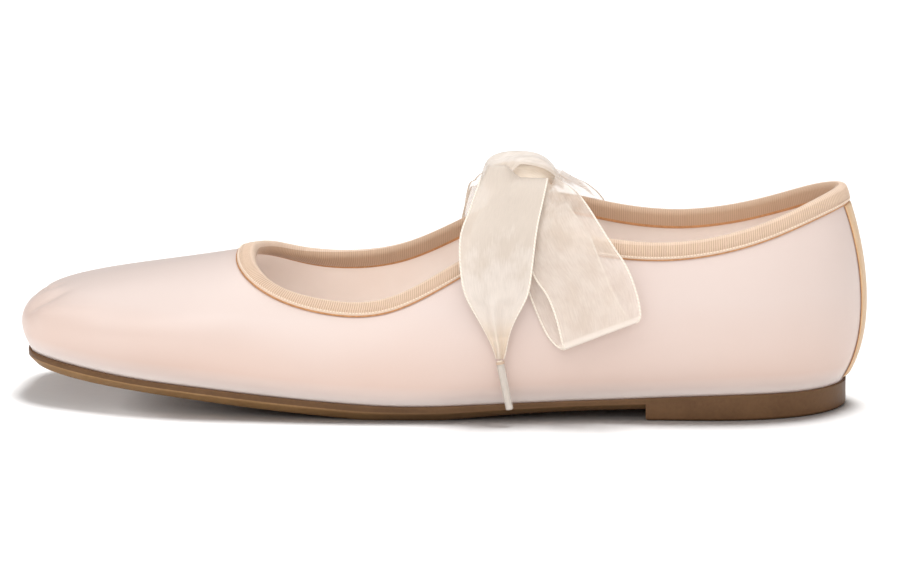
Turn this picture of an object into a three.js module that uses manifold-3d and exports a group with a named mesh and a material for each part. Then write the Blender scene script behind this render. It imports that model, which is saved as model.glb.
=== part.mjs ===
// Mary jane shoe for the left foot, with a ribbon bow over the instep.
// Millimetres, +Z up. The toe points to -X, the outer side of the foot to -Y, and the floor is z = 0.
import * as THREE from "three";
import { mergeVertices } from "three/addons/utils/BufferGeometryUtils.js";
import Module from "manifold-3d";

const wasm = await Module();
wasm.setup();

// Driving sizes
const WALL = 1.6;
const GAP = 0.3;
const TAPE = 0.8;
const TAPE_LEG = 3.9;
const STAY_WIDTH = 13;
const STAY_THICKNESS = 0.6;
const SOLE_MARGIN = 0.8;
const SOLE_BEVEL = 2.4;
const SOLE_WALL_SHARE = 0.45;
const HEEL_BREAST_X = 61.5;
const HEEL_EDGE_BEVEL = 0.6;
const INSOLE_THICKNESS = 2.6;
const INSOLE_CLEARANCE = 0.35;
const RIBBON_THICKNESS = 0.8;
const AGLET_RADIUS = 1.25;
const KNOT_CENTRE = new THREE.Vector3(22, -3, 67.6);
const KNOT_HALF = new THREE.Vector3(12, 9.5, 6.2);
const KNOT_SQUARENESS = 2.8;
const FRAME_MIDDLE = new THREE.Vector3(-0.47, -0.32, 0);

// Counts of the faceted surfaces
const AROUND = 96;
const UP = 10;
const ACROSS = 4;

// Sections of the last, one row each, from the heel back along the outer side to the toe, and back along
// the inner side.
// feather: where the upper meets the sole, in plan. swell and rise: how far the wall first runs out and up.
// top: the topline. flare and drop: how far the wall runs out and down from the topline.
const SECTION_COLUMNS = ["featherX", "featherY", "swell", "rise", "topX", "topY", "topZ", "flare", "drop"];
const SECTIONS = {
  heelBack: [118.5, 0, 8.6, 12, 117.6, 0, 64.8, 8.2, 22],
  heelLateral: [110.5, -17.2, 8.2, 12, 109.5, -14, 62.1, 7.6, 20],
  heelSideLateral: [91, -26.8, 7, 12, 92.5, -21.8, 55.6, 7.5, 18],
  quarterLateral: [67, -29, 6.5, 12, 71, -25, 51.3, 7.5, 17],
  waistLateral: [43, -30.5, 6.5, 12, 49, -26.3, 52.3, 4.5, 18],
  earLateral: [20, -34, 6.5, 11, 28, -26.5, 54, 4, 18],
  strapLateral: [-3, -37, 6.5, 10, 7, -27.2, 45.2, 5.5, 14],
  ballLateral: [-27, -38, 6, 10, -13, -28.8, 34.4, 8, 9],
  jointLateral: [-51, -36.5, 6, 10, -31, -28.6, 32.9, 10.5, 8],
  vampLateral: [-75, -33, 6, 12, -45.5, -25.2, 35.6, 19, 8.5],
  toeLateral: [-99, -27, 7, 14.7, -53.5, -18.8, 39.6, 37.4, 10.4],
  cornerLateral: [-120.8, -14.5, 11.5, 19.6, -57, -9, 42.4, 45, 10.2],
  toeTip: [-123.2, 4, 12, 20.6, -57.6, 1.5, 43.4, 52, 10.7],
  cornerMedial: [-119.6, 22.8, 11.5, 19.6, -57, 12, 42.2, 45, 10.2],
  toeMedial: [-99, 33.5, 7, 14.7, -53, 20.5, 40.6, 37.4, 10.4],
  jointMedial: [-74, 38, 6, 13, -44.5, 26.8, 37.8, 15, 10.5],
  ballMedial: [-50, 39.5, 5.5, 11, -30, 29.6, 36.7, 6.5, 12],
  strapFrontMedial: [-26, 36, 6, 11, -13, 29.8, 39.8, 4, 13],
  strapMedial: [-2, 28, 8, 12, 6, 28, 48.9, 3.5, 16],
  earMedial: [21, 23, 9, 14, 26, 25.5, 56.2, 3.5, 18],
  waistMedial: [44, 22, 9, 14, 48, 24, 53.7, 3.5, 18],
  quarterMedial: [68, 24.5, 8, 13, 70.5, 22.8, 52.2, 4, 18],
  heelSideMedial: [92, 25.5, 7, 12, 92.5, 20, 56.3, 6, 18],
  heelMedial: [111, 16.6, 8.2, 12, 109.5, 12.6, 62.4, 7.6, 20],
};

// Heights along the foot, one row every PROFILE_STEP from PROFILE_START: the feather edge and the tread.
const PROFILE_START = -130;
const PROFILE_STEP = 20;
const PROFILE = [
  { feather: 14.9, tread: 11.0 },
  { feather: 12.3, tread: 7.7 },
  { feather: 9.95, tread: 5.6 },
  { feather: 8.45, tread: 3.9 },
  { feather: 7.0, tread: 2.2 },
  { feather: 5.65, tread: 0.7 },
  { feather: 4.7, tread: -0.5 },
  { feather: 5.05, tread: 0.6 },
  { feather: 5.7, tread: 1.9 },
  { feather: 6.3, tread: 2.6 },
  { feather: 7.25, tread: 3.2 },
  { feather: 7.9, tread: 3.8 },
  { feather: 7.8, tread: 4.2 },
  { feather: 7.8, tread: 4.4 },
];

// Paths of the ribbon, one row for each station: middle of the ribbon, half its width, and how far the
// width leans up towards the heel, in degrees.
const RIBBON_COLUMNS = ["x", "y", "z", "half", "lean"];
const RIBBONS = {
  ribbon_strap_lateral: [
    [22, -24.8, 41, 12.3, 0],
    [22, -23.6, 47, 12.3, 0],
    [22, -21.4, 53.5, 12.2, 0],
    [22, -15.8, 58.2, 10.5, 0],
    [22, -8.6, 60.3, 8, 0],
    [22, -3.2, 60.6, 7, 0],
  ],
  ribbon_strap_medial: [
    [24, 23.4, 42, 12.3, 0],
    [24, 22.4, 49, 12.3, 0],
    [23.8, 20, 55.5, 12.2, 0],
    [23.2, 12.5, 59.4, 10.5, 0],
    [22.4, 4, 60.5, 8, 0],
    [22, -2.5, 60.6, 7, 0],
  ],
  bow_tail_lateral: [
    [21.7, -13.1, 68.2, 9.4, -1],
    [21.1, -20, 66.2, 10.3, 3],
    [19.7, -28, 60.5, 10.7, 3],
    [18.3, -33, 53.9, 11.1, 2.5],
    [18.1, -36.4, 43.3, 10.2, 1],
    [18.3, -37.6, 36.4, 8.9, 1],
    [18.5, -38.6, 29.1, 4.7, 2],
    [19, -39, 22.6, 1.9, 1],
    [19.4, -39.3, 19.6, 1.3, 1],
  ],
  bow_tail_medial: [
    [29.6, 7, 67.1, 4.6, -5],
    [32.6, 13.6, 64.1, 5.3, -10],
    [34.6, 19.8, 61.5, 6.6, -10],
    [36, 26, 58.2, 7.8, -9],
    [36.7, 31.6, 54.4, 9.4, -9],
    [37, 35.6, 47, 9.9, -7],
    [36.6, 37.4, 40, 9.2, -4],
    [35.8, 37.4, 31, 5.6, 0],
    [35.2, 36.4, 23.2, 1.3, 0],
  ],
  bow_loop_lateral: [
    [31.8, -12.2, 67.3, 2.3, 12],
    [33.3, -17.6, 65, 6.2, 10],
    [34, -24.4, 61.8, 9.2, 12],
    [35.3, -29.8, 57.3, 11.4, 15],
    [40.4, -33.8, 47.9, 12.5, 20],
    [44, -35.2, 42.9, 12.5, 20],
    [47.1, -36.8, 35.9, 12.4, 20],
    [48.8, -38, 28.8, 12.2, 21],
    [49, -37.4, 26.5, 12, 22],
    [46.7, -36, 27.2, 11.8, 23],
    [44.2, -35.2, 29.6, 11.5, 25],
    [41.2, -34, 34.7, 11.5, 25],
    [36.3, -32, 46.3, 11.4, 24],
    [34.4, -30.8, 51.8, 10.9, 18],
    [32.6, -28.6, 56.7, 9.6, 10],
    [31.4, -23, 61, 7, 8],
    [31.2, -12.2, 65.7, 1.8, 10],
  ],
  bow_loop_medial: [
    [16.2, 7, 66.2, 5, 0],
    [16, 13, 64.2, 7, 0],
    [15.7, 19.4, 61.9, 8.6, 2],
    [15.6, 25.4, 60.4, 10.2, 3],
    [15.2, 30, 57, 11.2, 5],
    [14.4, 33.6, 49.5, 11.8, 6],
    [13.6, 35.8, 40.5, 12.2, 6],
    [13.2, 36, 33.6, 12.2, 6],
    [13.2, 34.6, 36.5, 12.2, 6],
    [13.7, 32.2, 46, 11.9, 6],
    [14.8, 29.4, 53.6, 11.2, 5],
    [15.6, 25.2, 58.6, 10.2, 3],
    [15.6, 18.4, 60.2, 8.6, 2],
    [16, 12.4, 61.6, 7, 0],
    [16.2, 7, 62.9, 5, 0],
  ],
};
const AGLETS = {
  aglet_lateral: [new THREE.Vector3(19.5, -39.4, 18.9), new THREE.Vector3(22.5, -41, 5.0)],
  aglet_medial: [new THREE.Vector3(35.4, 36.3, 22.7), new THREE.Vector3(34.6, 35.0, 8.2)],
};

const COLOURS = {
  unit_sole: 0x8a6a4c,
  upper: 0xf3ddd3,
  insole: 0xe9cfc0,
  topline_binding: 0xf0cfae,
  heel_stay: 0xc49a6c,
  ribbon: 0xf2e8d8,
  aglet: 0xf4efe6,
};

// Cubic spline through equally spaced values, either closed or with free ends. Its second differences are
// found by relaxation.
function spline(values, closed) {
  const n = values.length;
  const second = new Float64Array(n);
  const at = (list, i) => list[(i + n) % n];
  for (let pass = 0; pass < 60; pass++) {
    for (let i = 0; i < n; i++) {
      if (!closed && (i === 0 || i === n - 1)) continue;
      const bend = at(values, i - 1) - 2 * values[i] + at(values, i + 1);
      second[i] = (6 * bend - at(second, i - 1) - at(second, i + 1)) / 4;
    }
  }
  return (p) => {
    const i = closed ? Math.floor(p) : Math.min(Math.max(Math.floor(p), 0), n - 2);
    const t = p - i;
    const u = 1 - t;
    const a = (i + n * 4) % n;
    const b = (a + 1) % n;
    const curve = (u ** 3 - u) * second[a] + (t ** 3 - t) * second[b];
    return u * values[a] + t * values[b] + curve / 6;
  };
}

const ROWS = Object.values(SECTIONS);
const ROW_COUNT = ROWS.length;
const section = {};
SECTION_COLUMNS.forEach((column, k) => {
  section[column] = spline(ROWS.map((row) => row[k]), true);
});

// Heights of the feather edge and of the tread at any x; the tread is flat where it touches the floor.
const featherSpline = spline(PROFILE.map((row) => row.feather), false);
const treadSpline = spline(PROFILE.map((row) => row.tread), false);
const featherZ = (x) => featherSpline((x - PROFILE_START) / PROFILE_STEP);
const treadZ = (x) => Math.max(0, treadSpline((x - PROFILE_START) / PROFILE_STEP));

// Outward normal, in plan, of the curve that two columns draw round the foot.
function planNormal(p, columnX, columnY) {
  const step = 1e-3;
  const dx = section[columnX](p + step) - section[columnX](p - step);
  const dy = section[columnY](p + step) - section[columnY](p - step);
  return new THREE.Vector3(-dy, dx, 0).normalize();
}

// Point of the feather outline moved outwards in plan, at a height given by x.
function outline(p, outwards, height) {
  const n = planNormal(p, "featherX", "featherY");
  const x = section.featherX(p) + n.x * outwards;
  const y = section.featherY(p) + n.y * outwards;
  return new THREE.Vector3(x, y, height(x));
}

// Outer face of the upper: one cubic curve for each place p round the foot, from the feather edge (v = 0)
// to the topline.
function meridian(p) {
  const feather = outline(p, 0, featherZ);
  const top = new THREE.Vector3(section.topX(p), section.topY(p), section.topZ(p));
  const wall = planNormal(p, "featherX", "featherY").multiplyScalar(section.swell(p));
  wall.z = section.rise(p);
  const edge = planNormal(p, "topX", "topY").multiplyScalar(section.flare(p));
  edge.z = -section.drop(p);
  return new THREE.CubicBezierCurve3(feather, feather.clone().add(wall), top.clone().add(edge), top);
}

// Outward normal of the upper's outer face. Near the feather edge it is turned level, so that the rim lies
// on the sole.
function wallNormal(p, v) {
  const step = 1e-3;
  const along = meridian(p + step).getPoint(v).sub(meridian(p - step).getPoint(v));
  const up = meridian(p).getTangent(Math.min(Math.max(v, step), 1));
  const n = up.cross(along).normalize();
  n.z *= THREE.MathUtils.smoothstep(v, 0, 0.12);
  return n.normalize();
}

const wallPoint = (p, v, out) => meridian(p).getPoint(v).addScaledVector(wallNormal(p, v), out);

// Where a band of a given width below the topline ends.
function legEnd(p, width) {
  return 1 - width / (3 * Math.hypot(section.flare(p), section.drop(p)));
}

// Solid from a row of closed sections with equal counts. Open ends are closed by strips from side to side.
function loft(sections, closedRow) {
  const count = sections[0].length;
  const positions = sections.flat().flatMap((q) => [q.x, q.y, q.z]);
  const index = [];
  const quad = (a, b, c, d) => index.push(a, b, c, a, c, d);
  const last = closedRow ? sections.length : sections.length - 1;
  for (let i = 0; i < last; i++) {
    const here = i * count;
    const next = ((i + 1) % sections.length) * count;
    for (let k = 0; k < count; k++) {
      const m = (k + 1) % count;
      quad(here + k, here + m, next + m, next + k);
    }
  }
  if (!closedRow) {
    const end = (sections.length - 1) * count;
    for (let k = 0; k < count / 2 - 1; k++) {
      quad(k, count - 1 - k, count - 2 - k, k + 1);
      quad(end + k, end + k + 1, end + count - 2 - k, end + count - 1 - k);
    }
  }
  return solid(positions, index);
}

// Geometry with shared corners, no collapsed triangle and its faces turned outwards.
function solid(positions, index) {
  const loose = new THREE.BufferGeometry();
  loose.setAttribute("position", new THREE.Float32BufferAttribute(positions, 3));
  loose.setIndex(index);
  const joined = mergeVertices(loose, 1e-3);
  const corner = [new THREE.Vector3(), new THREE.Vector3(), new THREE.Vector3()];
  const faces = [];
  let volume = 0;
  for (let i = 0; i < joined.index.count; i += 3) {
    const face = [0, 1, 2].map((k) => joined.index.getX(i + k));
    if (new Set(face).size < 3) continue;
    faces.push(face);
    face.forEach((v, k) => corner[k].fromBufferAttribute(joined.attributes.position, v));
    volume += corner[0].dot(corner[1].clone().cross(corner[2]));
  }
  joined.setIndex(faces.flatMap(([a, b, c]) => (volume < 0 ? [a, c, b] : [a, b, c])));
  return joined;
}

// The same geometry as a solid that can be cut and joined, and the way back.
function toManifold(geometry) {
  return new wasm.Manifold(
    new wasm.Mesh({
      numProp: 3,
      vertProperties: new Float32Array(geometry.attributes.position.array),
      triVerts: new Uint32Array(geometry.index.array),
    }),
  );
}
function fromManifold(body) {
  const mesh = body.getMesh();
  return solid(Array.from(mesh.vertProperties), Array.from(mesh.triVerts));
}

// Plate inside the feather outline: each section runs from the outer side of the foot to the inner side
// and back below.
// levels: rows from the top edge to the bottom edge, each with how far out it lies and its height at x.
function plate(levels) {
  const half = AROUND / 2;
  const sections = [];
  for (let i = 0; i <= half; i++) {
    const outer = (i * ROW_COUNT) / AROUND;
    const inner = ROW_COUNT - outer;
    const row = (level) => {
      const a = outline(outer, level.out, level.height);
      const b = outline(inner, level.out, level.height);
      return Array.from({ length: ACROSS + 1 }, (_, k) => {
        const q = a.clone().lerp(b, k / ACROSS);
        q.z = level.height(q.x);
        return q;
      });
    };
    const top = row(levels[0]);
    const bottom = row(levels[levels.length - 1]).reverse();
    const sides = levels.slice(1, -1);
    const innerSide = sides.map((level) => outline(inner, level.out, level.height));
    const outerSide = sides.map((level) => outline(outer, level.out, level.height)).reverse();
    sections.push([...top, ...innerSide, ...bottom, ...outerSide]);
  }
  return loft(sections, false);
}

// Upper: hollow shell, outer face up and inner face down at every place round the foot
function upperGeometry() {
  const steps = Array.from({ length: UP + 1 }, (_, k) => k / UP);
  const sections = Array.from({ length: AROUND }, (_, i) => {
    const p = (i * ROW_COUNT) / AROUND;
    const outside = steps.map((v) => wallPoint(p, v, 0));
    const inside = steps.map((v) => wallPoint(p, v, -WALL)).reverse();
    return [...outside, ...inside];
  });
  return loft(sections, true);
}

// Binding: tape folded over the topline, with a leg outside and a leg inside
function bindingGeometry() {
  const sections = Array.from({ length: AROUND }, (_, i) => {
    const p = (i * ROW_COUNT) / AROUND;
    const low = legEnd(p, TAPE_LEG);
    const up = meridian(p).getTangent(1);
    const face = (out) => {
      const crest = (side) => wallPoint(p, 1, side).addScaledVector(up, out);
      return [
        wallPoint(p, low, out),
        wallPoint(p, 1, out),
        crest(out * 0.4),
        crest(-WALL - out * 0.4),
        wallPoint(p, 1, -WALL - out),
        wallPoint(p, low, -WALL - out),
      ];
    };
    return [...face(GAP + TAPE), ...face(GAP).reverse()];
  });
  return loft(sections, true);
}

// Heel stay: narrow tape down the back seam, from the binding to the sole
function stayGeometry() {
  const steps = Array.from({ length: 13 }, (_, k) => k / 12);
  const sections = steps.map((s) => {
    const v = THREE.MathUtils.lerp(0.02, legEnd(0, TAPE_LEG + GAP), s);
    const rowWidth = meridian(0.2).getPoint(v).distanceTo(meridian(-0.2).getPoint(v)) / 0.4;
    const half = STAY_WIDTH / 2 / rowWidth;
    const row = (out) =>
      [-1, -0.5, 0, 0.5, 1].map((k) =>
        wallPoint(k * half, THREE.MathUtils.lerp(0.02, legEnd(k * half, TAPE_LEG + GAP), s), out),
      );
    return [...row(GAP + STAY_THICKNESS), ...row(GAP).reverse()];
  });
  return loft(sections, false);
}

// Sole: shaped plate with a bevelled edge, joined to the heel behind the breast
function soleGeometry() {
  const seat = (x) => featherZ(x) - GAP;
  const shoulder = (x) => THREE.MathUtils.lerp(seat(x), treadZ(x), SOLE_WALL_SHARE);
  const body = plate([
    { out: SOLE_MARGIN, height: seat },
    { out: SOLE_MARGIN, height: shoulder },
    { out: SOLE_MARGIN - SOLE_BEVEL, height: treadZ },
  ]);
  const heel = plate([
    { out: SOLE_MARGIN, height: (x) => seat(x) - GAP },
    { out: SOLE_MARGIN, height: () => HEEL_EDGE_BEVEL },
    { out: SOLE_MARGIN - HEEL_EDGE_BEVEL, height: () => 0 },
  ]);
  const behindBreast = toManifold(heel).trimByPlane([1, 0, 0], HEEL_BREAST_X);
  return fromManifold(toManifold(body).add(behindBreast));
}

// Insole: board on the sole, inside the wall of the upper
function insoleGeometry() {
  const inset = -WALL - INSOLE_CLEARANCE;
  return plate([
    { out: inset, height: (x) => featherZ(x) + INSOLE_THICKNESS },
    { out: inset, height: featherZ },
  ]);
}

// Ribbon: thin strip along a smooth path, its width running along the foot
function ribbonGeometry(rows) {
  const course = {};
  RIBBON_COLUMNS.forEach((column, k) => {
    course[column] = spline(rows.map((row) => row[k]), false);
  });
  const count = (rows.length - 1) * 2;
  const middle = (s) => new THREE.Vector3(course.x(s), course.y(s), course.z(s));
  const sections = Array.from({ length: count + 1 }, (_, i) => {
    const s = (i * (rows.length - 1)) / count;
    const ahead = middle(s + 1e-3).sub(middle(s - 1e-3)).normalize();
    const lean = THREE.MathUtils.degToRad(course.lean(s));
    const wide = new THREE.Vector3(Math.cos(lean), 0, Math.sin(lean));
    const face = ahead.clone().cross(wide).setLength(RIBBON_THICKNESS / 2);
    const row = (side) =>
      [-1, -0.33, 0.33, 1].map((k) =>
        middle(s).addScaledVector(wide, k * course.half(s)).addScaledVector(face, side),
      );
    return [...row(1), ...row(-1).reverse()];
  });
  return loft(sections, false);
}

// Knot: soft pillow, a squared ellipse in every direction
function knotGeometry() {
  const power = 2 / KNOT_SQUARENESS;
  const soft = (value) => Math.sign(value) * Math.abs(value) ** power;
  const rings = 10;
  const sides = 16;
  const sections = Array.from({ length: rings + 1 }, (_, i) => {
    const tilt = (i / rings - 0.5) * Math.PI;
    return Array.from({ length: sides }, (_, k) => {
      const turn = (k / sides) * 2 * Math.PI;
      const around = soft(Math.abs(Math.cos(tilt)) < 1e-9 ? 0 : Math.cos(tilt));
      return new THREE.Vector3(
        KNOT_CENTRE.x + KNOT_HALF.x * soft(Math.sin(tilt)),
        KNOT_CENTRE.y + KNOT_HALF.y * around * soft(Math.cos(turn)),
        KNOT_CENTRE.z + KNOT_HALF.z * around * soft(Math.sin(turn)),
      );
    });
  });
  return loft(sections, false);
}

// Aglet: round tip along a straight line, narrower at its end
function agletGeometry([from, to]) {
  const ahead = to.clone().sub(from).normalize();
  const side = new THREE.Vector3(0, 1, 0).cross(ahead).normalize();
  const front = ahead.clone().cross(side);
  const stations = [[0, 0.8], [0.06, 1], [0.9, 0.95], [1, 0.7]];
  const sections = stations.map(([share, size]) =>
    Array.from({ length: 8 }, (_, k) => {
      const turn = ((k + 0.5) / 8) * 2 * Math.PI;
      return from
        .clone()
        .lerp(to, share)
        .addScaledVector(side, AGLET_RADIUS * size * Math.cos(turn))
        .addScaledVector(front, AGLET_RADIUS * size * Math.sin(turn));
    }),
  );
  return loft(sections, false);
}

// Assembly
const shoe = new THREE.Group();
function add(name, geometry, colour) {
  geometry.translate(-FRAME_MIDDLE.x, -FRAME_MIDDLE.y, -FRAME_MIDDLE.z);
  geometry.computeVertexNormals();
  const mesh = new THREE.Mesh(geometry, new THREE.MeshStandardMaterial({ color: colour, roughness: 0.6 }));
  mesh.name = name;
  shoe.add(mesh);
}

add("unit_sole", soleGeometry(), COLOURS.unit_sole);
add("upper", upperGeometry(), COLOURS.upper);
add("insole", insoleGeometry(), COLOURS.insole);
add("topline_binding", bindingGeometry(), COLOURS.topline_binding);
add("heel_stay", stayGeometry(), COLOURS.heel_stay);
add("bow_knot", knotGeometry(), COLOURS.ribbon);
Object.entries(RIBBONS).forEach(([name, rows]) => add(name, ribbonGeometry(rows), COLOURS.ribbon));
Object.entries(AGLETS).forEach(([name, ends]) => add(name, agletGeometry(ends), COLOURS.aglet));

export default shoe;
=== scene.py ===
"""Dresses the mary jane shoe: satin upper, bound topline, stay tape, sole, insole and ribbon bow.

Tables are in millimetres and meshes in metres. The toe points to -X, the outer side of the foot
to -Y, and the floor is z = 0.
"""
import logging
from dataclasses import dataclass
from enum import Enum
from functools import partial, reduce
from typing import Callable, ClassVar, Sequence

import bpy
import numpy as np
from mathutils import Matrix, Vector
from numpy.typing import NDArray


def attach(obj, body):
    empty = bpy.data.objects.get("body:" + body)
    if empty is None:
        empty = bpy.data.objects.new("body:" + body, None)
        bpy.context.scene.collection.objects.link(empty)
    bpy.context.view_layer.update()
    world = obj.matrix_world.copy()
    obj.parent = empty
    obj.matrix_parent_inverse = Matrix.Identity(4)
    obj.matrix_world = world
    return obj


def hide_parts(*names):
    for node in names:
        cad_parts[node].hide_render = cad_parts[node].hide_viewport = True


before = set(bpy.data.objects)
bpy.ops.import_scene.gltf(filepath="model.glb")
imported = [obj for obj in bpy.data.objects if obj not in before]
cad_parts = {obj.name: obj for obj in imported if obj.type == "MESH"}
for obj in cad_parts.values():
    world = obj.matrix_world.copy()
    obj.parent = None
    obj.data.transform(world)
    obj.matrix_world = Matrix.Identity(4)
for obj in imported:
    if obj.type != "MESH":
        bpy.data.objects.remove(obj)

Array = NDArray[np.float64]
Colour = tuple[float, float, float]
Finish = bpy.types.Material
Piece = bpy.types.Object
Socket = bpy.types.NodeSocket
LOG = logging.getLogger("shoe")
MM = 0.001
BODY = "root"
CLOTH = "cloth"
# From the tables' middle to the row's middle, in millimetres
SHIFT = np.array([0.47, 0.32, 0.0])
# Points that round to the same place on a grid this fine are welded
WELDS_PER_MM = 2000.0
# Step along a curve from which its direction is taken
STEP = 1e-3
# Length in which a wave texture of scale 1 repeats
WAVE_PERIOD = 2.0 * np.pi / 20.0


class Sharpness(Enum):
    """Angle, in degrees, above which an edge of a piece is left crisp."""

    SOFT = 180.0
    MOULDED = 38.0


class Lit(Enum):
    """Whether a lamp lights only the named objects, or all but those."""

    ONLY = "INCLUDE"
    ALL_BUT = "EXCLUDE"


class Weave(Enum):
    """Opacity and tone factor of the ribbon: close in the near tail, sheer where only light is behind it.
    Where the tone factor lightens the loops and far runs, which lie in shade, it is painted light.
    """

    CLOSE = (0.82, 0.93)
    SOFT = (0.46, 1.12)
    WRAPPED = (0.58, 1.05)
    OPEN = (0.36, 1.2)


class Spline:
    """Cubic spline through equally spaced rows of numbers, closed or with free ends."""

    def __init__(self, rows: Sequence[Sequence[float]], closed: bool) -> None:
        """Solves for the second differences, which share one banded system of equations.

        Args:
            rows: The values at each station.
            closed: Whether the last station runs on into the first.
        """
        self.values = np.asarray(rows, float)
        self.closed = closed
        count = len(self.values)
        band = 4.0 * np.eye(count) + np.eye(count, k=1) + np.eye(count, k=-1)
        bend = np.roll(self.values, 1, 0) - 2.0 * self.values + np.roll(self.values, -1, 0)
        if closed:
            band[0, -1] = band[-1, 0] = 1.0
        else:
            band[[0, -1]] = np.eye(count)[[0, -1]]
            bend[[0, -1]] = 0.0
        self.seconds = np.linalg.solve(band, 6.0 * bend)

    def __call__(self, place: Array) -> Array:
        """Values at any places along the stations.

        Args:
            place: Places, in stations.

        Returns:
            One row of values for each place.
        """
        count = len(self.values)
        place = np.asarray(place, float)
        first = np.floor(place).astype(int)
        if not self.closed:
            first = np.clip(first, 0, count - 2)
        t = (place - first)[..., None]
        u = 1.0 - t
        a = first % count
        b = (first + 1) % count
        curve = (u**3 - u) * self.seconds[a] + (t**3 - t) * self.seconds[b]
        return u * self.values[a] + t * self.values[b] + curve / 6.0


def unit(vectors: Array) -> Array:
    """Vectors of length one in the same directions."""
    return vectors / np.maximum(np.linalg.norm(vectors, axis=-1, keepdims=True), 1e-12)


def smooth(values: Array, low: float, high: float) -> Array:
    """Soft step from 0 at low to 1 at high, as 3t² - 2t³."""
    t = np.clip((values - low) / (high - low), 0.0, 1.0)
    return t * t * (3.0 - 2.0 * t)


def running(points: Array, axis: int = 0) -> Array:
    """Length run along a grid of points, from 0 at its first row or column.

    Args:
        points: Grid of points.
        axis: The axis that is followed.

    Returns:
        The running length at each point, in the points' unit.
    """
    steps = np.linalg.norm(np.diff(points, axis=axis), axis=-1)
    start = np.zeros_like(np.take(steps, [0], axis=axis))
    return np.concatenate([start, np.cumsum(steps, axis=axis)], axis=axis)


def circle(first: Array, second: Array, count: int) -> Array:
    """Rings of points: the first direction times a cosine plus the second times a sine of an even turn."""
    turn = np.linspace(0.0, 2.0 * np.pi, count)[:, None]
    return first[..., None, :] * np.cos(turn) + second[..., None, :] * np.sin(turn)


def flat_lay(columns: Array, rows: Array) -> Array:
    """Millimetres on the flat material, from those of a grid's columns and of its rows."""
    return np.stack(np.broadcast_arrays(columns[None, :], rows[:, None]), axis=-1)


@dataclass
class Patch:
    """Grid of points that becomes faces of a piece.

    Attributes:
        points: Rows by columns by 3, in the tables' millimetres. A closed grid repeats its first line.
        cloth: Rows by columns by 2, millimetres on the flat material.
        slot: Index of the finish, or one index for each row of faces.
        flip: Whether the faces are turned round.
    """

    points: Array
    cloth: Array | None = None
    slot: int | Array = 0
    flip: bool = False

    def faces(self) -> Array:
        """Corner indexes of the grid's quads, in reading order.

        Returns:
            One row of four indexes for each quad.
        """
        rows, columns = self.points.shape[:2]
        index = np.arange(rows * columns).reshape(rows, columns)
        corners = [index[:-1, :-1], index[:-1, 1:], index[1:, 1:], index[1:, :-1]]
        if self.flip:
            corners = corners[::-1]
        return np.stack([c.ravel() for c in corners], axis=1)

    def slots(self) -> Array:
        """Finish index of each quad."""
        rows, columns = self.points.shape[:2]
        return np.broadcast_to(np.reshape(self.slot, (-1, 1)), (rows - 1, columns - 1)).ravel()

    def lay(self) -> Array:
        """Place of each point on the flat material.

        Returns:
            Millimetres, those given or else the lengths run along the grid.
        """
        if self.cloth is not None:
            return self.cloth
        return np.stack([running(self.points, 1), running(self.points, 0)], axis=-1)


def tube(line: Array, rings: Array) -> Patch:
    """Round tube along a line, its ends closed by the line's end points.

    Args:
        line: Points of the line.
        rings: Ring round each of them, seen from the point.

    Returns:
        The patch.
    """
    wall = line[:, None, :] + rings
    ends = np.broadcast_to(line[[0, -1], None, :], (2, *wall.shape[1:]))
    return Patch(np.concatenate([ends[:1], wall, ends[1:]]))


def make_piece(
    name: str,
    patches: Sequence[Patch],
    finishes: Sequence[Finish],
    sharpness: Sharpness = Sharpness.SOFT,
) -> Piece:
    """Joins patches into one mesh object that rides on the shoe.

    Points that fall together are welded, so a repeated line closes a seam and a point repeated along a
    row closes a pole. A quad that loses a corner to the weld becomes a triangle.

    Args:
        name: Name of the piece.
        patches: Grids of points.
        finishes: Materials, in the order of the patches' slots.
        sharpness: Which edges stay crisp.

    Returns:
        The new object, at the origin.
    """
    points = np.concatenate([p.points.reshape(-1, 3) for p in patches])
    cloth = np.concatenate([p.lay().reshape(-1, 2) for p in patches])
    starts = np.cumsum([0] + [p.points.shape[0] * p.points.shape[1] for p in patches])
    faces = np.concatenate([p.faces() + start for p, start in zip(patches, starts)])
    slots = np.concatenate([p.slots() for p in patches])
    _, kept, welded = np.unique(
        np.round(points * WELDS_PER_MM).astype(np.int64), axis=0, return_index=True, return_inverse=True
    )
    corner = welded.reshape(-1)[faces]
    own = corner != np.roll(corner, 1, axis=1)
    whole = own.sum(1) >= 3
    own &= whole[:, None]
    loops = faces[own]
    sizes = own.sum(1)[whole]
    mesh = bpy.data.meshes.new(name)
    mesh.vertices.add(len(kept))
    mesh.vertices.foreach_set("co", ((points[kept] + SHIFT) * MM).astype(np.float32).ravel())
    mesh.loops.add(len(loops))
    mesh.loops.foreach_set("vertex_index", corner[own].astype(np.int32))
    mesh.polygons.add(len(sizes))
    mesh.polygons.foreach_set("loop_start", (np.cumsum(sizes) - sizes).astype(np.int32))
    mesh.polygons.foreach_set("material_index", slots[whole].astype(np.int32))
    mesh.uv_layers.new(name=CLOTH).data.foreach_set("uv", cloth[loops].astype(np.float32).ravel())
    mesh.update(calc_edges=True)
    mesh.validate()
    mesh.shade_smooth()
    if sharpness is not Sharpness.SOFT:
        mesh.set_sharp_from_angle(angle=float(np.radians(sharpness.value)))
    for finish in finishes:
        mesh.materials.append(finish)
    piece = bpy.data.objects.new(name, mesh)
    bpy.context.scene.collection.objects.link(piece)
    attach(piece, BODY)
    return piece


def ring_surface(levels: Sequence[tuple[float, Array]]) -> Array:
    """Closed plate whose rows run from a middle line out to a ring, down its side and back below.

    The middle line joins each point of the ring to the one opposite, so the first and last rows fold
    onto themselves and close when welded.

    Args:
        levels: For each row, the share of the way from the middle line to the ring, and the ring there: a
            closed ring of points, its first point repeated, with point i opposite point -1 - i.

    Returns:
        Grid of points, one row for each level.
    """
    rows = []
    for share, level in levels:
        middle = 0.5 * (level + level[::-1])
        rows.append(middle + share * (level - middle))
    return np.stack(rows)


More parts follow.
